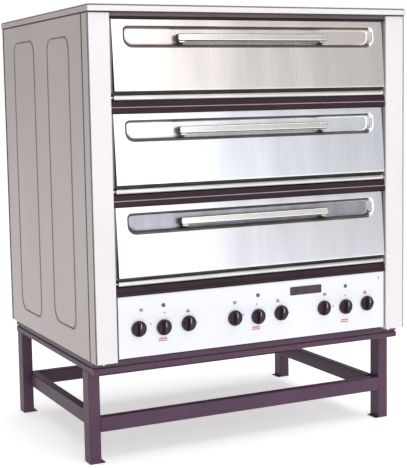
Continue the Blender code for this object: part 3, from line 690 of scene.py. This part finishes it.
def spots(deck):
    """Tests for the places of one door that have their own finish, each of them painted light or
    shade.
    """
    hinge = HINGES[deck]

    def in_pocket(face, left, right, shallow, deep, reach):
        across, depth, up = in_face(face.center - hinge)
        return left < across < right and shallow < depth < deep and abs(up - POCKET_MIDDLE) < reach

    def in_painted_shade(face):
        """Painted shade: the pocket's rim and walls but for its right end, and the cove over the
        bead.
        """
        spot = face.center - hinge
        in_cove = 0.0095 < spot.z < 0.0235 and -0.0165 < spot.y < 0.020
        return in_cove or in_pocket(face, -0.530, 0.497, 0.0004, 0.0205, 0.042)

    return {
        "bead": lambda face: (face.center - hinge).yz.length < BEAD_RADIUS + 0.0002,
        "pocket floor": lambda face: in_pocket(face, -0.512, 0.512, 0.0190, 1.0, 0.040),
        "painted highlight end": lambda face: in_pocket(face, 0.503, 0.517, 0.0030, 0.0225, 0.040),
        "in_painted_shade": in_painted_shade,
    }


for deck in DECKS:
    skin = copy_of(door_skin, deck + "_door_sheet", HINGES[deck])
    place_piece(skin, deck + "_door", door_steels[deck], "stainless", deck + "_door_skin")
    spot = spots(deck)
    # Painted shade: the bead is the same sheet as the face, made darker.
    touch_up(skin, shaded_bead_steel, spot["bead"])
    # Painted shade: only the lower door's pocket floor is darker and bluer.
    if deck == "lower":
        touch_up(skin, shaded_pocket_steel, spot["pocket floor"])
    # Painted highlight on the right end of the pocket.
    touch_up(skin, painted_highlight_steel, spot["painted highlight end"])
    # Painted shade on the pocket's rim and walls and in the cove over the bead.
    touch_up(skin, painted_shade, spot["in_painted_shade"])
bpy.data.objects.remove(door_skin)

# %% [markdown]
# The handle is a flat polished bar on two short posts that stand in the pocket. The bar
# starts as a block: its four corners are rounded in plan first, then the whole front rim
# gets a finer edge, which is how a bar is milled and then polished.

# %% Handles
BAR_LENGTH, BAR_HEIGHT, BAR_THICK, BAR_PROUD = 0.620, 0.026, 0.008, 0.006
BAR_MIDDLE, POST_X, POST_HALF, POST_HEIGHT = 0.180, 0.290, 0.012, 0.030


def along(axis):
    """A test: the edge runs along that axis."""
    return lambda e: abs((e.verts[0].co - e.verts[1].co).normalized()[axis]) > 0.99


def round_corners(piece, axis, radius, segments=6):
    """Rounds the edges that run along one axis."""
    pick(piece, "edges", along(axis))
    bevel(radius, segments)
    leave_edit()


def model_handle():
    low = (-BAR_LENGTH / 2, -BAR_PROUD, BAR_MIDDLE - BAR_HEIGHT / 2)
    high = (BAR_LENGTH / 2, BAR_THICK - BAR_PROUD, BAR_MIDDLE + BAR_HEIGHT / 2)
    bar = start_block("bar", low, high)
    round_corners(bar, 1, 0.009)
    pick(bar, "faces", facing(1, -1))
    bevel(0.0055, 6, profile=0.42)
    leave_edit()
    pieces = [bar]
    top, root = high[2] - 0.001, POCKET_DEPTH - 0.0003
    for middle in (-POST_X, POST_X):
        post = start_block("post", (middle - POST_HALF, high[1] - 0.001, top - POST_HEIGHT),
                           (middle + POST_HALF, root, top))
        round_corners(post, 1, 0.005, 4)
        pick(post, "faces", lambda f: all(abs(v.co.y - root) < TINY for v in f.verts))
        bpy.ops.transform.resize(value=(1.18, 1, 1.12))
        leave_edit()
        soften(post, 0.0012, 2, 50)
        pieces.append(post)
    return lean(join(pieces, "handle"))


handle = model_handle()
for deck in DECKS:
    grab = copy_of(handle, deck + "_grab_handle", HINGES[deck])
    place_piece(grab, deck + "_door", polished_steel, "polished_steel", deck + "_door_handle")
    # Painted shade: the bar's lower bevel and its left end are dark, for the shadow under the bar.
    touch_up(grab, painted_shade, lambda face: face.normal.z < -0.45
             or (face.normal.x < -0.5 and face.center.x < -0.30))
bpy.data.objects.remove(handle)

# %% [markdown]
# The casing is folded sheet: a cover like a shallow lid, two front pillars and the side
# panels. Each starts as a block, loses the faces that are open on the real piece, has its
# folds rounded to a sheet's bend radius, and only then gets its thickness.

# %% Folded sheet
SHEET = 0.0015


def folded(name, source, open_faces, radius, segments):
    """A sheet box as large as a part of the frame, open on some sides."""
    shell = start_block(name, *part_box(source))
    pick(shell, "faces", lambda f: any(facing(axis, sign)(f) for axis, sign in open_faces))
    delete_picked()
    soften(shell, radius, segments, 50)
    wall(shell, SHEET)
    return shell


COVER_TOP, COVER_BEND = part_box("top_cover")[1].z, 0.0058
cover = folded("cover_lid", "top_cover", [(2, -1)], 0.0060, 5)
place_piece(cover, "cabinet", white_enamel, "white_enamel", "top_cover")
# Painted shade: the cover's side faces are darker than its top and front.
touch_up(cover, shaded_side_enamel, lambda face: abs(face.normal.x) > 0.9)
# Painted shade: the cover's rounded top edge and its right front corner are dark grey.
touch_up(cover, shade_line_enamel, lambda face: 0.12 < face.normal.z < 0.97
         and face.center.z > COVER_TOP - COVER_BEND)
touch_up(cover, shade_line_enamel, lambda face: 0.25 < face.normal.x < 0.95 and face.normal.y < -0.1
         and face.center.x > 0.6)

# %% [markdown]
# The side panels carry two tall fields each, outlined by a pressed groove that keeps a
# large thin sheet from drumming. The groove is drawn like the door's pocket, but it comes
# back up again, so the field inside it lies level with the sheet round it.

# %% Side panels
FIELDS = ((0.315, 0.230, 0.476, 1.527), (0.712, 0.247, 0.456, 1.532))
FIELD_RADII = (0.048, 0.048, 0.060, 0.042)
GROOVE_HALF, GROOVE_UPRIGHT = 0.0105, 0.42
GROOVE = [(0.0020, 0.0003), (0.0055, 0.0016), (0.0085, 0.0027), (0.0105, 0.0030), (0.0125, 0.0027),
          (0.0155, 0.0016), (0.0190, 0.0003), (0.0210, 0.0)]
FLANGE, SIDE_SHEET = 0.015, 0.0012


def model_side_panel():
    """Modelled facing -Y, with its own x along the oven's depth, then turned to the left side."""
    low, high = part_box("left_side_panel")
    length, height = high.y - low.y, high.z - low.z
    middle_y = (low.y + high.y) / 2
    plates = [start_sheet("sheet", length, height, (low.z + high.z) / 2)]
    fields = [(-(middle + FRONT - middle_y), width + 2 * GROOVE_HALF,
               top - bottom + 2 * GROOVE_UPRIGHT * GROOVE_HALF, (bottom + top) / 2)
              for middle, width, bottom, top in FIELDS]
    for centre, width, tall, level in fields:
        plate = rounded_plate("field", width, tall, level, FIELD_RADII)
        plate.location.x = centre
        plates.append(settle(plate))
    panel = join(plates, "side_panel")
    fill_outline(panel)
    for centre, width, tall, level in fields:
        pick(panel, "edges", open_rim(lambda co: abs(co.x - centre) < width / 2 + 1e-4
                                      and abs(co.z - level) < tall / 2 + 1e-4))
        press((width, tall), (centre, 0, level), GROOVE, upright=GROOVE_UPRIGHT)
    pick(panel, "edges", open_rim(lambda co: abs(abs(co.x) - length / 2) < TINY
                                  or min(abs(co.z - low.z), abs(co.z - high.z)) < TINY))
    extrude(y=FLANGE)
    leave_edit()
    soften(panel, 0.0015, 2, 60)
    wall(panel, SIDE_SHEET)
    panel.rotation_euler = (0, 0, -math.pi / 2)
    panel.location = (low.x, middle_y, 0)
    return settle(panel)


def mirrored(piece, name):
    """The same piece for the other side of the oven, with its faces turned right again."""
    twin = copy_of(piece, name)
    twin.scale = (-1, 1, 1)
    pick(settle(twin), "faces")
    face_outwards()
    return twin


left_panel = rename(model_side_panel(), "left_panel_sheet")
right_panel = mirrored(left_panel, "right_panel_sheet")
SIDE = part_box("right_side_panel")[1].x


def in_groove_shade(face):
    """The slopes of either field's groove, which get painted shade."""
    spot, margin = face.center.y - FRONT, GROOVE_HALF + 1e-4
    inside = any(abs(spot - middle) < width / 2 + margin
                 and bottom - margin < face.center.z < top + margin
                 for middle, width, bottom, top in FIELDS)
    return inside and 0.0003 < SIDE - abs(face.center.x) < 0.0030 and abs(face.normal.x) < 0.97


for panel, source in ((left_panel, "left_side_panel"), (right_panel, "right_side_panel")):
    place_piece(panel, "cabinet", shaded_side_enamel, "taupe_enamel", source)
    # Painted shade on the slopes of the grooves.
    touch_up(panel, groove_shade_and_plug_grey, in_groove_shade)

# %% [markdown]
# The front pillars are channels: a wide white face, a return along the side, and a wall
# that goes in beside the doors. A block with its back, top and bottom taken away is that
# channel already, and its inner wall is then pushed back to clear the chambers.

# %% Pillars
WALL_BACK = 0.009


def model_pillar():
    low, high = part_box("left_front_pillar")
    pillar = start_block("left_pillar_channel", low, high)
    pick(pillar, "faces", lambda f: f.normal.y > 0.99 or abs(f.normal.z) > 0.99)
    delete_picked()
    pick(pillar, "edges", lambda e: all(abs(v.co.x - high.x) < TINY and v.co.y > high.y - TINY
                                        for v in e.verts))
    bpy.ops.transform.translate(value=(0, -WALL_BACK, 0))
    leave_edit()
    soften(pillar, 0.0045, 4, 50)
    wall(pillar, SHEET)
    return pillar


def outer(face):
    return abs(face.center.x) > SIDE - 0.01


left_pillar = model_pillar()
right_pillar = mirrored(left_pillar, "right_pillar_channel")
for pillar, source in ((left_pillar, "left_front_pillar"), (right_pillar, "right_front_pillar")):
    place_piece(pillar, "cabinet", white_enamel, "white_enamel", source)
    # Painted shade: the side return of each white pillar is darker than its face.
    touch_up(pillar, shaded_side_enamel, lambda face: outer(face) and abs(face.normal.x) > 0.9)
    # Painted shade: the pillar's rounded outer corner is dark grey.
    touch_up(pillar, shade_line_enamel, lambda face: outer(face) and 0.2 < abs(face.normal.x) < 0.9)

# %% [markdown]
# Where two painted sheets meet, the joint throws a thin line of shadow. From a few steps
# away it is all that tells one sheet from the next, so each joint gets its own thin dark
# strip, a painted shadow: round the body under the cover, down both edges of the side
# panels, and beside the panel of knobs. Each stands a fraction of a millimetre proud of the paint.

# %% Seams and jambs
BODY_TOP, BODY_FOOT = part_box("left_side_panel")[1].z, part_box("left_side_panel")[0].z
SEAM, SEAM_HEIGHT = 0.0003, 0.0058


def strip(name, low, high, finish_used=shadow_line_paint, slot="door_gasket", rounding=0.0008):
    """A thin rounded strip between two corners, on the cabinet."""
    piece = start_block(name, low, high)
    soften(piece, rounding, 2, 50)
    return place_piece(piece, "cabinet", finish_used, slot)


def both_sides(name, low, high, **values):
    """The same strip on the left, as given, and mirrored on the right."""
    strip("left_" + name, low, high, **values)
    strip("right_" + name, (-high[0], low[1], low[2]), (-low[0], high[1], high[2]), **values)


seam_ring = start_block("cover_seam", (-SIDE - SEAM, FRONT + 0.0082, BODY_TOP - SEAM_HEIGHT),
                        (SIDE + SEAM, FRONT + 0.9866, BODY_TOP + 0.0001))
pick(seam_ring, "faces", lambda f: abs(f.normal.z) > 0.99)
delete_picked()
wall(seam_ring, 0.0010)
soften(seam_ring, 0.0003, 2, 50)
place_piece(seam_ring, "cabinet", shadow_line_paint, "door_gasket")
upright = (BODY_FOOT + 0.001, BODY_TOP - SEAM_HEIGHT - 0.0001)
for word, near, far in (("front_seam", 0.0620, 0.0722), ("rear_seam", 0.9690, 0.9866)):
    both_sides(word, (-SIDE - SEAM, FRONT + near, upright[0]),
               (-SIDE + 0.001, FRONT + far, upright[1]), rounding=0.0005)
pillar_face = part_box("left_front_pillar")[0].y
# Painted shade: dark grey strips down the outer corners of the pillars.
strip("left_corner_trim", (-SIDE - SEAM, pillar_face - SEAM, upright[0]),
      (-SIDE + 0.0066, pillar_face + 0.0070, upright[1]), shade_line_enamel, "white_enamel", 0.0030)
strip("right_corner_trim", (SIDE - 0.0052, pillar_face - SEAM, upright[0]),
      (SIDE + SEAM, pillar_face + 0.0070, upright[1]), shade_line_enamel, "white_enamel", 0.0012)
panel_low, panel_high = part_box("control_panel")
for word, side, reach in (("left", panel_low.x, 0.0075), ("right", panel_high.x, -0.0045)):
    ends = sorted((side, side + reach))
    strip(word + "_panel_seam", (ends[0], panel_low.y - SEAM, panel_low.z + 0.001),
          (ends[1], panel_low.y + 0.004, panel_high.z - 0.001))
# Painted shade: the jambs are dark grey, for the shaded gap beside each door.
JAMB_LOW, JAMB_HIGH = Vector((-0.5670, -0.0060, 0.014)), Vector((-0.5590, 0.031, 0.268))
for deck in DECKS:
    both_sides(deck + "_jamb", HINGES[deck] + JAMB_LOW, HINGES[deck] + JAMB_HIGH,
               finish_used=shade_line_enamel, slot="stainless")

# %% [markdown]
# Dark rails close the front between the doors. Each has a face and, along its foot, a
# lower lip that stands a few millimetres proud. The face is cut across with a bisect,
# and the strip below the cut is extruded forwards. The deck rails, and the header's band
# over the door, are a darker purple than the stand: painted shade.

# %% Rails
LIPS = {"header_rail": 0.007, "upper_deck_rail": 0.021, "middle_deck_rail": 0.021,
        "lower_deck_rail": 0.012}
LIP_PROUD, LIP_RADIUS = 0.0032, 0.0031


def model_rail(source, lip):
    low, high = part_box(source)
    face = low.y + LIP_PROUD
    rail = start_block(source.replace("_rail", "_trim"), (low.x, face, low.z), high)
    pick(rail, "faces", lambda f: f.normal.y > 0.99 or abs(f.normal.x) > 0.99)
    delete_picked()
    pick(rail, "faces")
    bpy.ops.mesh.bisect(plane_co=(0, 0, low.z + lip), plane_no=(0, 0, 1))
    pick(rail, "faces", lambda f: f.normal.y < -0.99 and f.calc_center_median().z < low.z + lip)
    extrude(y=-LIP_PROUD)
    pick(rail, "faces", lambda f: abs(f.normal.x) > 0.99)
    delete_picked()
    ridge = lambda v: v.co.y < face - TINY and abs(v.co.z - low.z - lip) < TINY
    pick(rail, "edges", lambda e: all(ridge(v) for v in e.verts))
    bevel(LIP_RADIUS, 3)
    leave_edit()
    soften(rail, 0.0010, 2, 60)
    wall(rail, 0.0015)
    return rail


for source, lip in LIPS.items():
    header = source == "header_rail"
    # The deck rails take the darker copy: painted shade.
    enamel = header_enamel if header else rail_enamel
    trim = place_piece(model_rail(source, lip), "cabinet", enamel, "purple_enamel", source)
    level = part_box(source)[0].z + lip
    if header:
        # Painted shade: the header's lower band, over the door's top.
        touch_up(trim, rail_enamel, lambda face: face.center.z < level + 0.0005)
    elif source != "lower_deck_rail":
        # Painted highlight along the top of the lip.
        touch_up(trim, painted_lip_highlight, lambda face: abs(face.center.z - level) < 0.0042
                 and face.normal.z > 0.15 and face.normal.y < -0.1)

# %% [markdown]
# The control panel is a white tray on its side. The knobs hide their own holes, and each
# lamp's bezel hides its hole, so the sheet itself can stay whole.

# %% Control panel
fascia = folded("control_fascia", "control_panel", [(1, 1), (0, 1), (0, -1)], 0.002, 3)
place_piece(fascia, "cabinet", panel_enamel, "white_enamel", "control_panel")
PANEL_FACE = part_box("control_panel")[0].y
GROUPS = {"upper": -0.3845, "middle": 0.0, "lower": 0.3845}

# %% [markdown]
# One knob is modelled at the origin and copied nine times. A turned disc gets a groove
# and a raised hub by insets that step in and out, then a grip is set across it, and a thin
# pale line on the grip shows where it points. The line keeps a material of its own.

# %% Knobs
KNOB_RADIUS, SKIRT, GRIP_FRONT = 0.0285, 0.0062, -0.0250
KNOB_STEPS = ((0.0022, -0.0012), (0.0030, 0.0), (0.0008, 0.0012), (0.0016, 0.0), (0.0010, -0.0026))


def model_knob():
    disc = start_disc("disc", KNOB_RADIUS, SKIRT, -0.001 - SKIRT / 2, 48)
    pick(disc, "faces", facing(1, -1))
    terrace(KNOB_STEPS)
    soften(disc, 0.0006, 2, 35)
    grip = start_block("grip", (-0.0065, GRIP_FRONT, -0.0240), (0.0065, -0.006, 0.0240))
    pick(grip, "faces", facing(1, -1))
    bpy.ops.transform.resize(value=(0.74, 1, 0.95))
    leave_edit()
    soften(grip, 0.0022, 4, 50)
    line = start_block("line", (-0.0007, GRIP_FRONT - 0.0002, 0.004),
                       (0.0007, GRIP_FRONT + 0.0002, 0.0205))
    for part, used in ((disc, knob_plastic), (grip, knob_plastic), (line, pointer_ink)):
        part.data.materials.append(used)
    return join([disc, grip, line], "knob")


pointer_ink = finish("pointer_ink", ((0.70, 0.68, 0.66), (0.80, 0.78, 0.76)), (0.5, 0.6), scale=300)
knob = model_knob()
for deck in DECKS:
    for kind in ("top_heat", "switch", "bottom_heat"):
        source = f"{deck}_{kind}_knob"
        low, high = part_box(source)
        middle = ((low.x + high.x) / 2, PANEL_FACE, (low.z + high.z) / 2)
        dial = copy_of(knob, f"{deck}_{kind}_dial", middle)
        place_piece(dial, source, None, "knob_plastic", source)
bpy.data.objects.remove(knob)

# %% [markdown]
# Over every switch sits a small signal lamp: a plated bezel with a smoked lens. The lens
# is drawn up from the middle of the disc in three insets, like blowing a shallow dome.

# %% Signal lamps
lens_smoke = finish("lens_smoke", ((0.055, 0.045, 0.028), (0.10, 0.085, 0.055)), (0.08, 0.16),
                    scale=160, grain=500, bump=0.02, bump_depth=0.0001, coat=0.6)
bezel_metal = finish("bezel_metal", ((0.13, 0.12, 0.11), (0.22, 0.20, 0.19)), (0.20, 0.32),
                     metal=0.8, scale=60, grain=500, bump=0.04, bump_depth=0.0001)
LAMP_HEIGHT, LENS_RADIUS = 0.571, 0.0052
BEZEL_STEPS = ((0.0010, -0.0006), (0.0008, 0.0006))
LENS_STEPS = ((0.0004, -0.0010), (0.0011, -0.0010), (0.0014, -0.0005))


def model_lamp():
    lamp = start_disc("lamp", 0.0072, 0.0016, -0.0008, 40)
    pick(lamp, "faces", facing(1, -1))
    terrace(BEZEL_STEPS + LENS_STEPS)
    return lamp


lamp = model_lamp()
for deck, across in GROUPS.items():
    middle = Vector((across, PANEL_FACE, LAMP_HEIGHT))
    piece = copy_of(lamp, deck + "_signal_lamp", middle)
    place_piece(piece, "cabinet", bezel_metal, "lamp_lens")
    touch_up(piece, lens_smoke, lambda face: (face.center - middle).xz.length < LENS_RADIUS
             and face.center.y < PANEL_FACE - 0.0010)
bpy.data.objects.remove(lamp)

# %% [markdown]
# Screen-printed marks say what each knob is for. They are drawn as ink really lies, a
# thin film on the paint: a bar with three rays under it for the heat from above, the same
# turned over for the heat from below, dots for off and on, and plain red bars for the
# caution under each switch, with nothing written on them.

# %% Printed marks
panel_ink = finish("panel_ink", ((0.10, 0.065, 0.075), (0.16, 0.11, 0.12)), (0.5, 0.65), scale=200)
caution_ink = finish("caution_ink", ((0.50, 0.15, 0.13), (0.60, 0.22, 0.19)), (0.5, 0.65), scale=200)
INK_FILM = 0.0002


def ink_bar(across, height, wide, tall):
    """One printed bar, from its middle and its size."""
    bar = start_block("ink", (across - wide / 2, PANEL_FACE - INK_FILM, height - tall / 2),
                      (across + wide / 2, PANEL_FACE + INK_FILM, height + tall / 2))
    round_corners(bar, 1, min(wide, tall) * 0.32, 3)
    return bar


def heat_mark(across, height, sign):
    """A long bar with three rays: under it with sign 1, over it with sign -1."""
    rays = [ink_bar(across + step, height - sign * 0.0026, 0.0030, 0.0066)
            for step in (-0.0046, 0, 0.0046)]
    return [ink_bar(across, height + sign * 0.0036, 0.0144, 0.0044)] + rays


# Each place is (across from the group's middle, height).
MARK_PLACES = {
    "upper": ((-0.087, 0.5605), (0.0965, 0.5415), (0.004, 0.5430),
              (-0.0510, 0.5090), (-0.0040, 0.4480)),
    "middle": ((-0.0975, 0.5515), (0.0845, 0.5430), (-0.006, 0.5380),
               (-0.0620, 0.5030), (-0.0095, 0.4490)),
    "lower": ((-0.0935, 0.5470), (0.0895, 0.5390), (-0.002, 0.5355),
              (-0.0562, 0.4985), (-0.0030, 0.4370)),
}
for deck, group in GROUPS.items():
    places = [(group + across, height) for across, height in MARK_PLACES[deck]]
    top_mark, bottom_mark, on_dot, off_dot, (across, height) = places
    marks = heat_mark(*top_mark, 1) + heat_mark(*bottom_mark, -1)
    marks += [ink_bar(*dot, 0.0044, 0.0056) for dot in (on_dot, off_dot)]
    marks.append(ink_bar(group + 0.1320, 0.4935, 0.0028, 0.0048))
    place_piece(join(marks, deck + "_knob_marks"), "cabinet", panel_ink, "panel_print")
    lines = [ink_bar(across, height + 0.0036, 0.033, 0.0052),
             ink_bar(across - 0.001, height - 0.0040, 0.036, 0.0044)]
    place_piece(join(lines, deck + "_caution_bars"), "cabinet", caution_ink, "panel_print")

# %% [markdown]
# A rating plate fills the gap between the second and third group: a dark anodised sheet
# with a raised rim, left blank, held by two drive pins.

# %% Rating plate
plate_metal = finish("plate_metal", ((0.040, 0.026, 0.034), (0.065, 0.045, 0.056)), (0.30, 0.42),
                     metal=0.3, scale=30, grain=500, grain_stretch=LENGTHWISE_GRAIN,
                     bump=0.06, bump_depth=0.0001)
plate = start_block("rating_plate", (0.138, PANEL_FACE - 0.0012, 0.5565),
                    (0.276, PANEL_FACE + INK_FILM, 0.5880))
round_corners(plate, 1, 0.004, 4)
pick(plate, "faces", facing(1, -1))
terrace(((0.0016, 0.0), (0.0004, 0.0004)))
pins = []
for across in (0.1435, 0.2705):
    clear_selection()
    bpy.ops.mesh.primitive_uv_sphere_add(segments=16, ring_count=8, radius=0.0019,
                                         location=(across, PANEL_FACE - 0.0009, 0.5722))
    bpy.context.object.scale = (1, 0.6, 1)
    pins.append(named("pin"))
place_piece(join([plate] + pins, "rating_plate"), "cabinet", plate_metal, "panel_print", angle=25)

# %% [markdown]
# Screws hold the sheet work: a domed head with a cross slot. The head is a low cylinder
# whose rim is bevelled round, and the slot is two short bars sunk by a Boolean, the one
# place where a cut is how the real thing is made.

# %% Screws
def model_screw(radius, height):
    head = start_disc("screw", radius, height, -height / 2, 32)
    pick(head, "edges", lambda e: all(v.co.y < -height + TINY for v in e.verts))
    bevel(height * 0.8, 5)
    leave_edit()
    for wide, tall in ((0.9, 0.18), (0.18, 0.9)):
        wide, tall = radius * wide / 1.6, radius * tall / 1.6
        slot = start_block("slot", (-wide, -height - 0.001, -tall), (wide, -height * 0.55, tall))
        apply(head, "BOOLEAN", operation="DIFFERENCE", solver="EXACT", object=slot)
        bpy.data.objects.remove(slot)
    return head


def screws_on(name, radius, height, places, body_turn=0.0, finish_used=zinc, slot="zinc"):
    """Screws of one size at those places, turned about the upright axis to face outwards."""
    heads = []
    for place in places:
        head = model_screw(radius, height)
        head.rotation_euler = (0, 0, body_turn)
        head.location = place
        heads.append(settle(head))
    return place_piece(join(heads, name), "cabinet", finish_used, slot)


screws_on("panel_screw", 0.0034, 0.0014, [(0.5385, PANEL_FACE, 0.5905)], finish_used=bezel_metal)
REAR, BAND_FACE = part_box("rear_panel")[1].y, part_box("base_pan")[0].y
rear_places = [(x, z) for x in (-0.63, -0.21, 0.21, 0.63) for z in (0.400, 1.585)]
rear_places += [(x, z) for x in (-0.63, 0.63) for z in (0.70, 0.99, 1.28)]
screws_on("rear_screws", 0.0045, 0.0020, [(x, REAR, z) for x, z in rear_places], body_turn=math.pi)
screws_on("base_bolts", 0.0050, 0.0024, [(x, BAND_FACE, 0.3745) for x in (-0.6060, 0.6060)])

# %% [markdown]
# Low on each side panel a round grommet closes a service hole. A torus is the lip that
# the eye sees, mostly sunk in the sheet, and a dished disc of darker rubber plugs its
# middle.

# %% Side grommets
grommet_grey = finish("grommet_grey", ((0.60, 0.55, 0.54), (0.68, 0.63, 0.62)), (0.4, 0.5), scale=60)
RING_RADIUS, RING_THICK, RING_PROUD = 0.0092, 0.0024, 0.0006
for side, word in ((-1, "left"), (1, "right")):
    clear_selection()
    at = {"location": (side * (SIDE + RING_PROUD - RING_THICK), FRONT + 0.776, 0.476),
          "rotation": (0, math.pi / 2, 0)}
    bpy.ops.mesh.primitive_torus_add(major_segments=36, minor_segments=12,
                                     major_radius=RING_RADIUS, minor_radius=RING_THICK, **at)
    ring = named("ring")
    ring.data.materials.append(grommet_grey)
    clear_selection()
    bpy.ops.mesh.primitive_cylinder_add(vertices=36, radius=RING_RADIUS - 0.001, depth=0.002, **at)
    plug = named("plug")
    plug.data.materials.append(groove_shade_and_plug_grey)
    pick(plug, "faces", facing(0, side))
    terrace(((0.0030, side * 0.0008), (0.0020, side * 0.0003)), axis=0)
    place_piece(join([ring, plug], word + "_side_grommet"), "cabinet", None, "black_nylon")

# %% [markdown]
# A rope of woven glass closes each chamber. It runs round the mouth in one loop, so the
# loop is drawn as a rounded outline, turned into a curve, given a round section, and
# turned back into a mesh. It is fixed to the door, and swings with it.

# %% Door gaskets
gasket_rope = finish("gasket_rope", ((0.10, 0.092, 0.082), (0.20, 0.185, 0.165)), (0.75, 0.95),
                     scale=60, grain=900, bump=0.6, bump_depth=0.0008)
ROPE_RADIUS, ROPE_DEPTH = 0.0027, 0.0549
ROPE_LOOP = (1.020, 0.212, 0.132)


def model_gasket():
    rope = rounded_plate("gasket", *ROPE_LOOP, (0.020,) * 4)
    keep_outline(rope)
    only(rope)
    bpy.ops.object.convert(target="CURVE")
    rope.data.bevel_depth = ROPE_RADIUS
    rope.data.bevel_resolution = 3
    bpy.ops.object.convert(target="MESH")
    return bpy.context.object


gasket = model_gasket()
for deck in DECKS:
    rope = copy_of(gasket, deck + "_door_gasket", (0, FRONT + ROPE_DEPTH, HINGES[deck].z))
    place_piece(rope, deck + "_door", gasket_rope, "door_gasket", angle=60)
bpy.data.objects.remove(gasket)

# %% [markdown]
# The base tray is folded with a step: its upper band stands out, and a narrow recess
# under it throws the dark line that runs round the whole stand; the recess is also painted dark, a
# painted shadow.

# %% Base tray
tray_low, tray_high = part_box("base_pan")
STEP_HEIGHT, STEP_IN, STEP_LAP = 0.0045, 0.0040, 0.0030
upper_band = start_block("band", (tray_low.x, tray_low.y, tray_low.z + STEP_HEIGHT), tray_high)
recess = start_block("recess", (tray_low.x + STEP_IN, tray_low.y + STEP_IN, tray_low.z),
                     (tray_high.x - STEP_IN, tray_high.y - STEP_IN,
                      tray_low.z + STEP_HEIGHT + STEP_LAP))
for block, rounding in ((upper_band, 0.0030), (recess, 0.0008)):
    soften(block, rounding, 3, 50)
upper_band.data.materials.append(purple_enamel)
# Painted shadow: the recess is dark as well.
recess.data.materials.append(shadow_line_paint)
place_piece(join([upper_band, recess], "base_tray"), "cabinet", None, "purple_enamel", "base_pan")

# %% [markdown]
# The stand is welded from square tube: four rails, four stretchers and four legs. A tube
# is a block as long as the part it stands for, with its long edges rounded.

# %% Stand
def tube(name, source, axis, rounding=0.004):
    """A square tube as long as a part of the frame, its long edges rounded."""
    piece = start_block(name, *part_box(source))
    round_corners(piece, axis, rounding, 4)
    soften(piece, 0.0006, 2, 50)
    return piece


def place_in_stand(piece, source):
    place_piece(piece, "cabinet", purple_enamel, "purple_enamel", source)


for words in ("stand_{}_rail", "{}_stretcher"):
    for side, axis in (("front", 0), ("rear", 0), ("left", 1), ("right", 1)):
        source = words.format(side)
        place_in_stand(tube(source + "_tube", source, axis), source)

# %% [markdown]
# Each leg is a post that ends in a thin foot plate, and where the two meet there is a
# small run of weld.

# %% Legs
FOOT_THICK, FOOT_TOE, WELD = 0.003, 0.015, 0.003
for row in ("front", "rear"):
    for side, word in ((-1, "left"), (1, "right")):
        source = f"{row}_{word}_leg"
        low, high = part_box(source)
        inner = low.x + FOOT_TOE if side > 0 else high.x - FOOT_TOE
        near, far = sorted((inner, high.x if side > 0 else low.x))
        post = start_block("post", (near, low.y, FOOT_THICK - 0.0005), (far, high.y, high.z))
        round_corners(post, 2, 0.004, 4)
        foot = start_block("foot", low, (high.x, high.y, FOOT_THICK))
        round_corners(foot, 2, 0.003, 3)
        soften(foot, 0.0006, 2, 50)
        toe = (near - WELD, near) if side > 0 else (far, far + WELD)
        weld = start_block("weld", (toe[0] - 0.001, low.y + 0.004, FOOT_THICK - 0.0005),
                           (toe[1] + 0.001, high.y - 0.004, FOOT_THICK + WELD))
        pick(weld, "edges", lambda e: all(v.co.z > FOOT_THICK + WELD - TINY for v in e.verts)
             and along(1)(e))
        bevel(0.0022, 3)
        leave_edit()
        place_in_stand(join([post, foot, weld], source + "_post"), source)

# %% [markdown]
# The parts that keep their own mesh only need their finish. Their triangles are loose, so
# a Weld joins them for shading, and a small Bevel rounds the edges that the eye would see.

# %% Finishes for the frame's own parts
KEPT = {"chamber": chamber_steel, "hearth": hearth_steel, "element": element_sheath,
        "liner": liner_steel, "rod": zinc, "rear_panel": shaded_side_enamel, "bracket": zinc,
        "gland": black_nylon, "jacket": mineral_wool}
ROUNDED = ("liner", "hearth", "bracket", "rear_panel")
for name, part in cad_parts.items():
    used = next((used for word, used in KEPT.items() if word in name), None)
    if part.hide_render or used is None:
        continue
    part.data.materials.clear()
    part.data.materials.append(used)
    weld_points = part.modifiers.new("weld", "WELD")
    weld_points.merge_threshold = 0.00002
    if any(word in name for word in ROUNDED):
        rounding = part.modifiers.new("rounding", "BEVEL")
        rounding.width = 0.0008
        rounding.segments = 2
        rounding.limit_method = "ANGLE"
        rounding.angle_limit = math.radians(50)
print("kept parts", sum(not part.hide_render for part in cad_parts.values()))
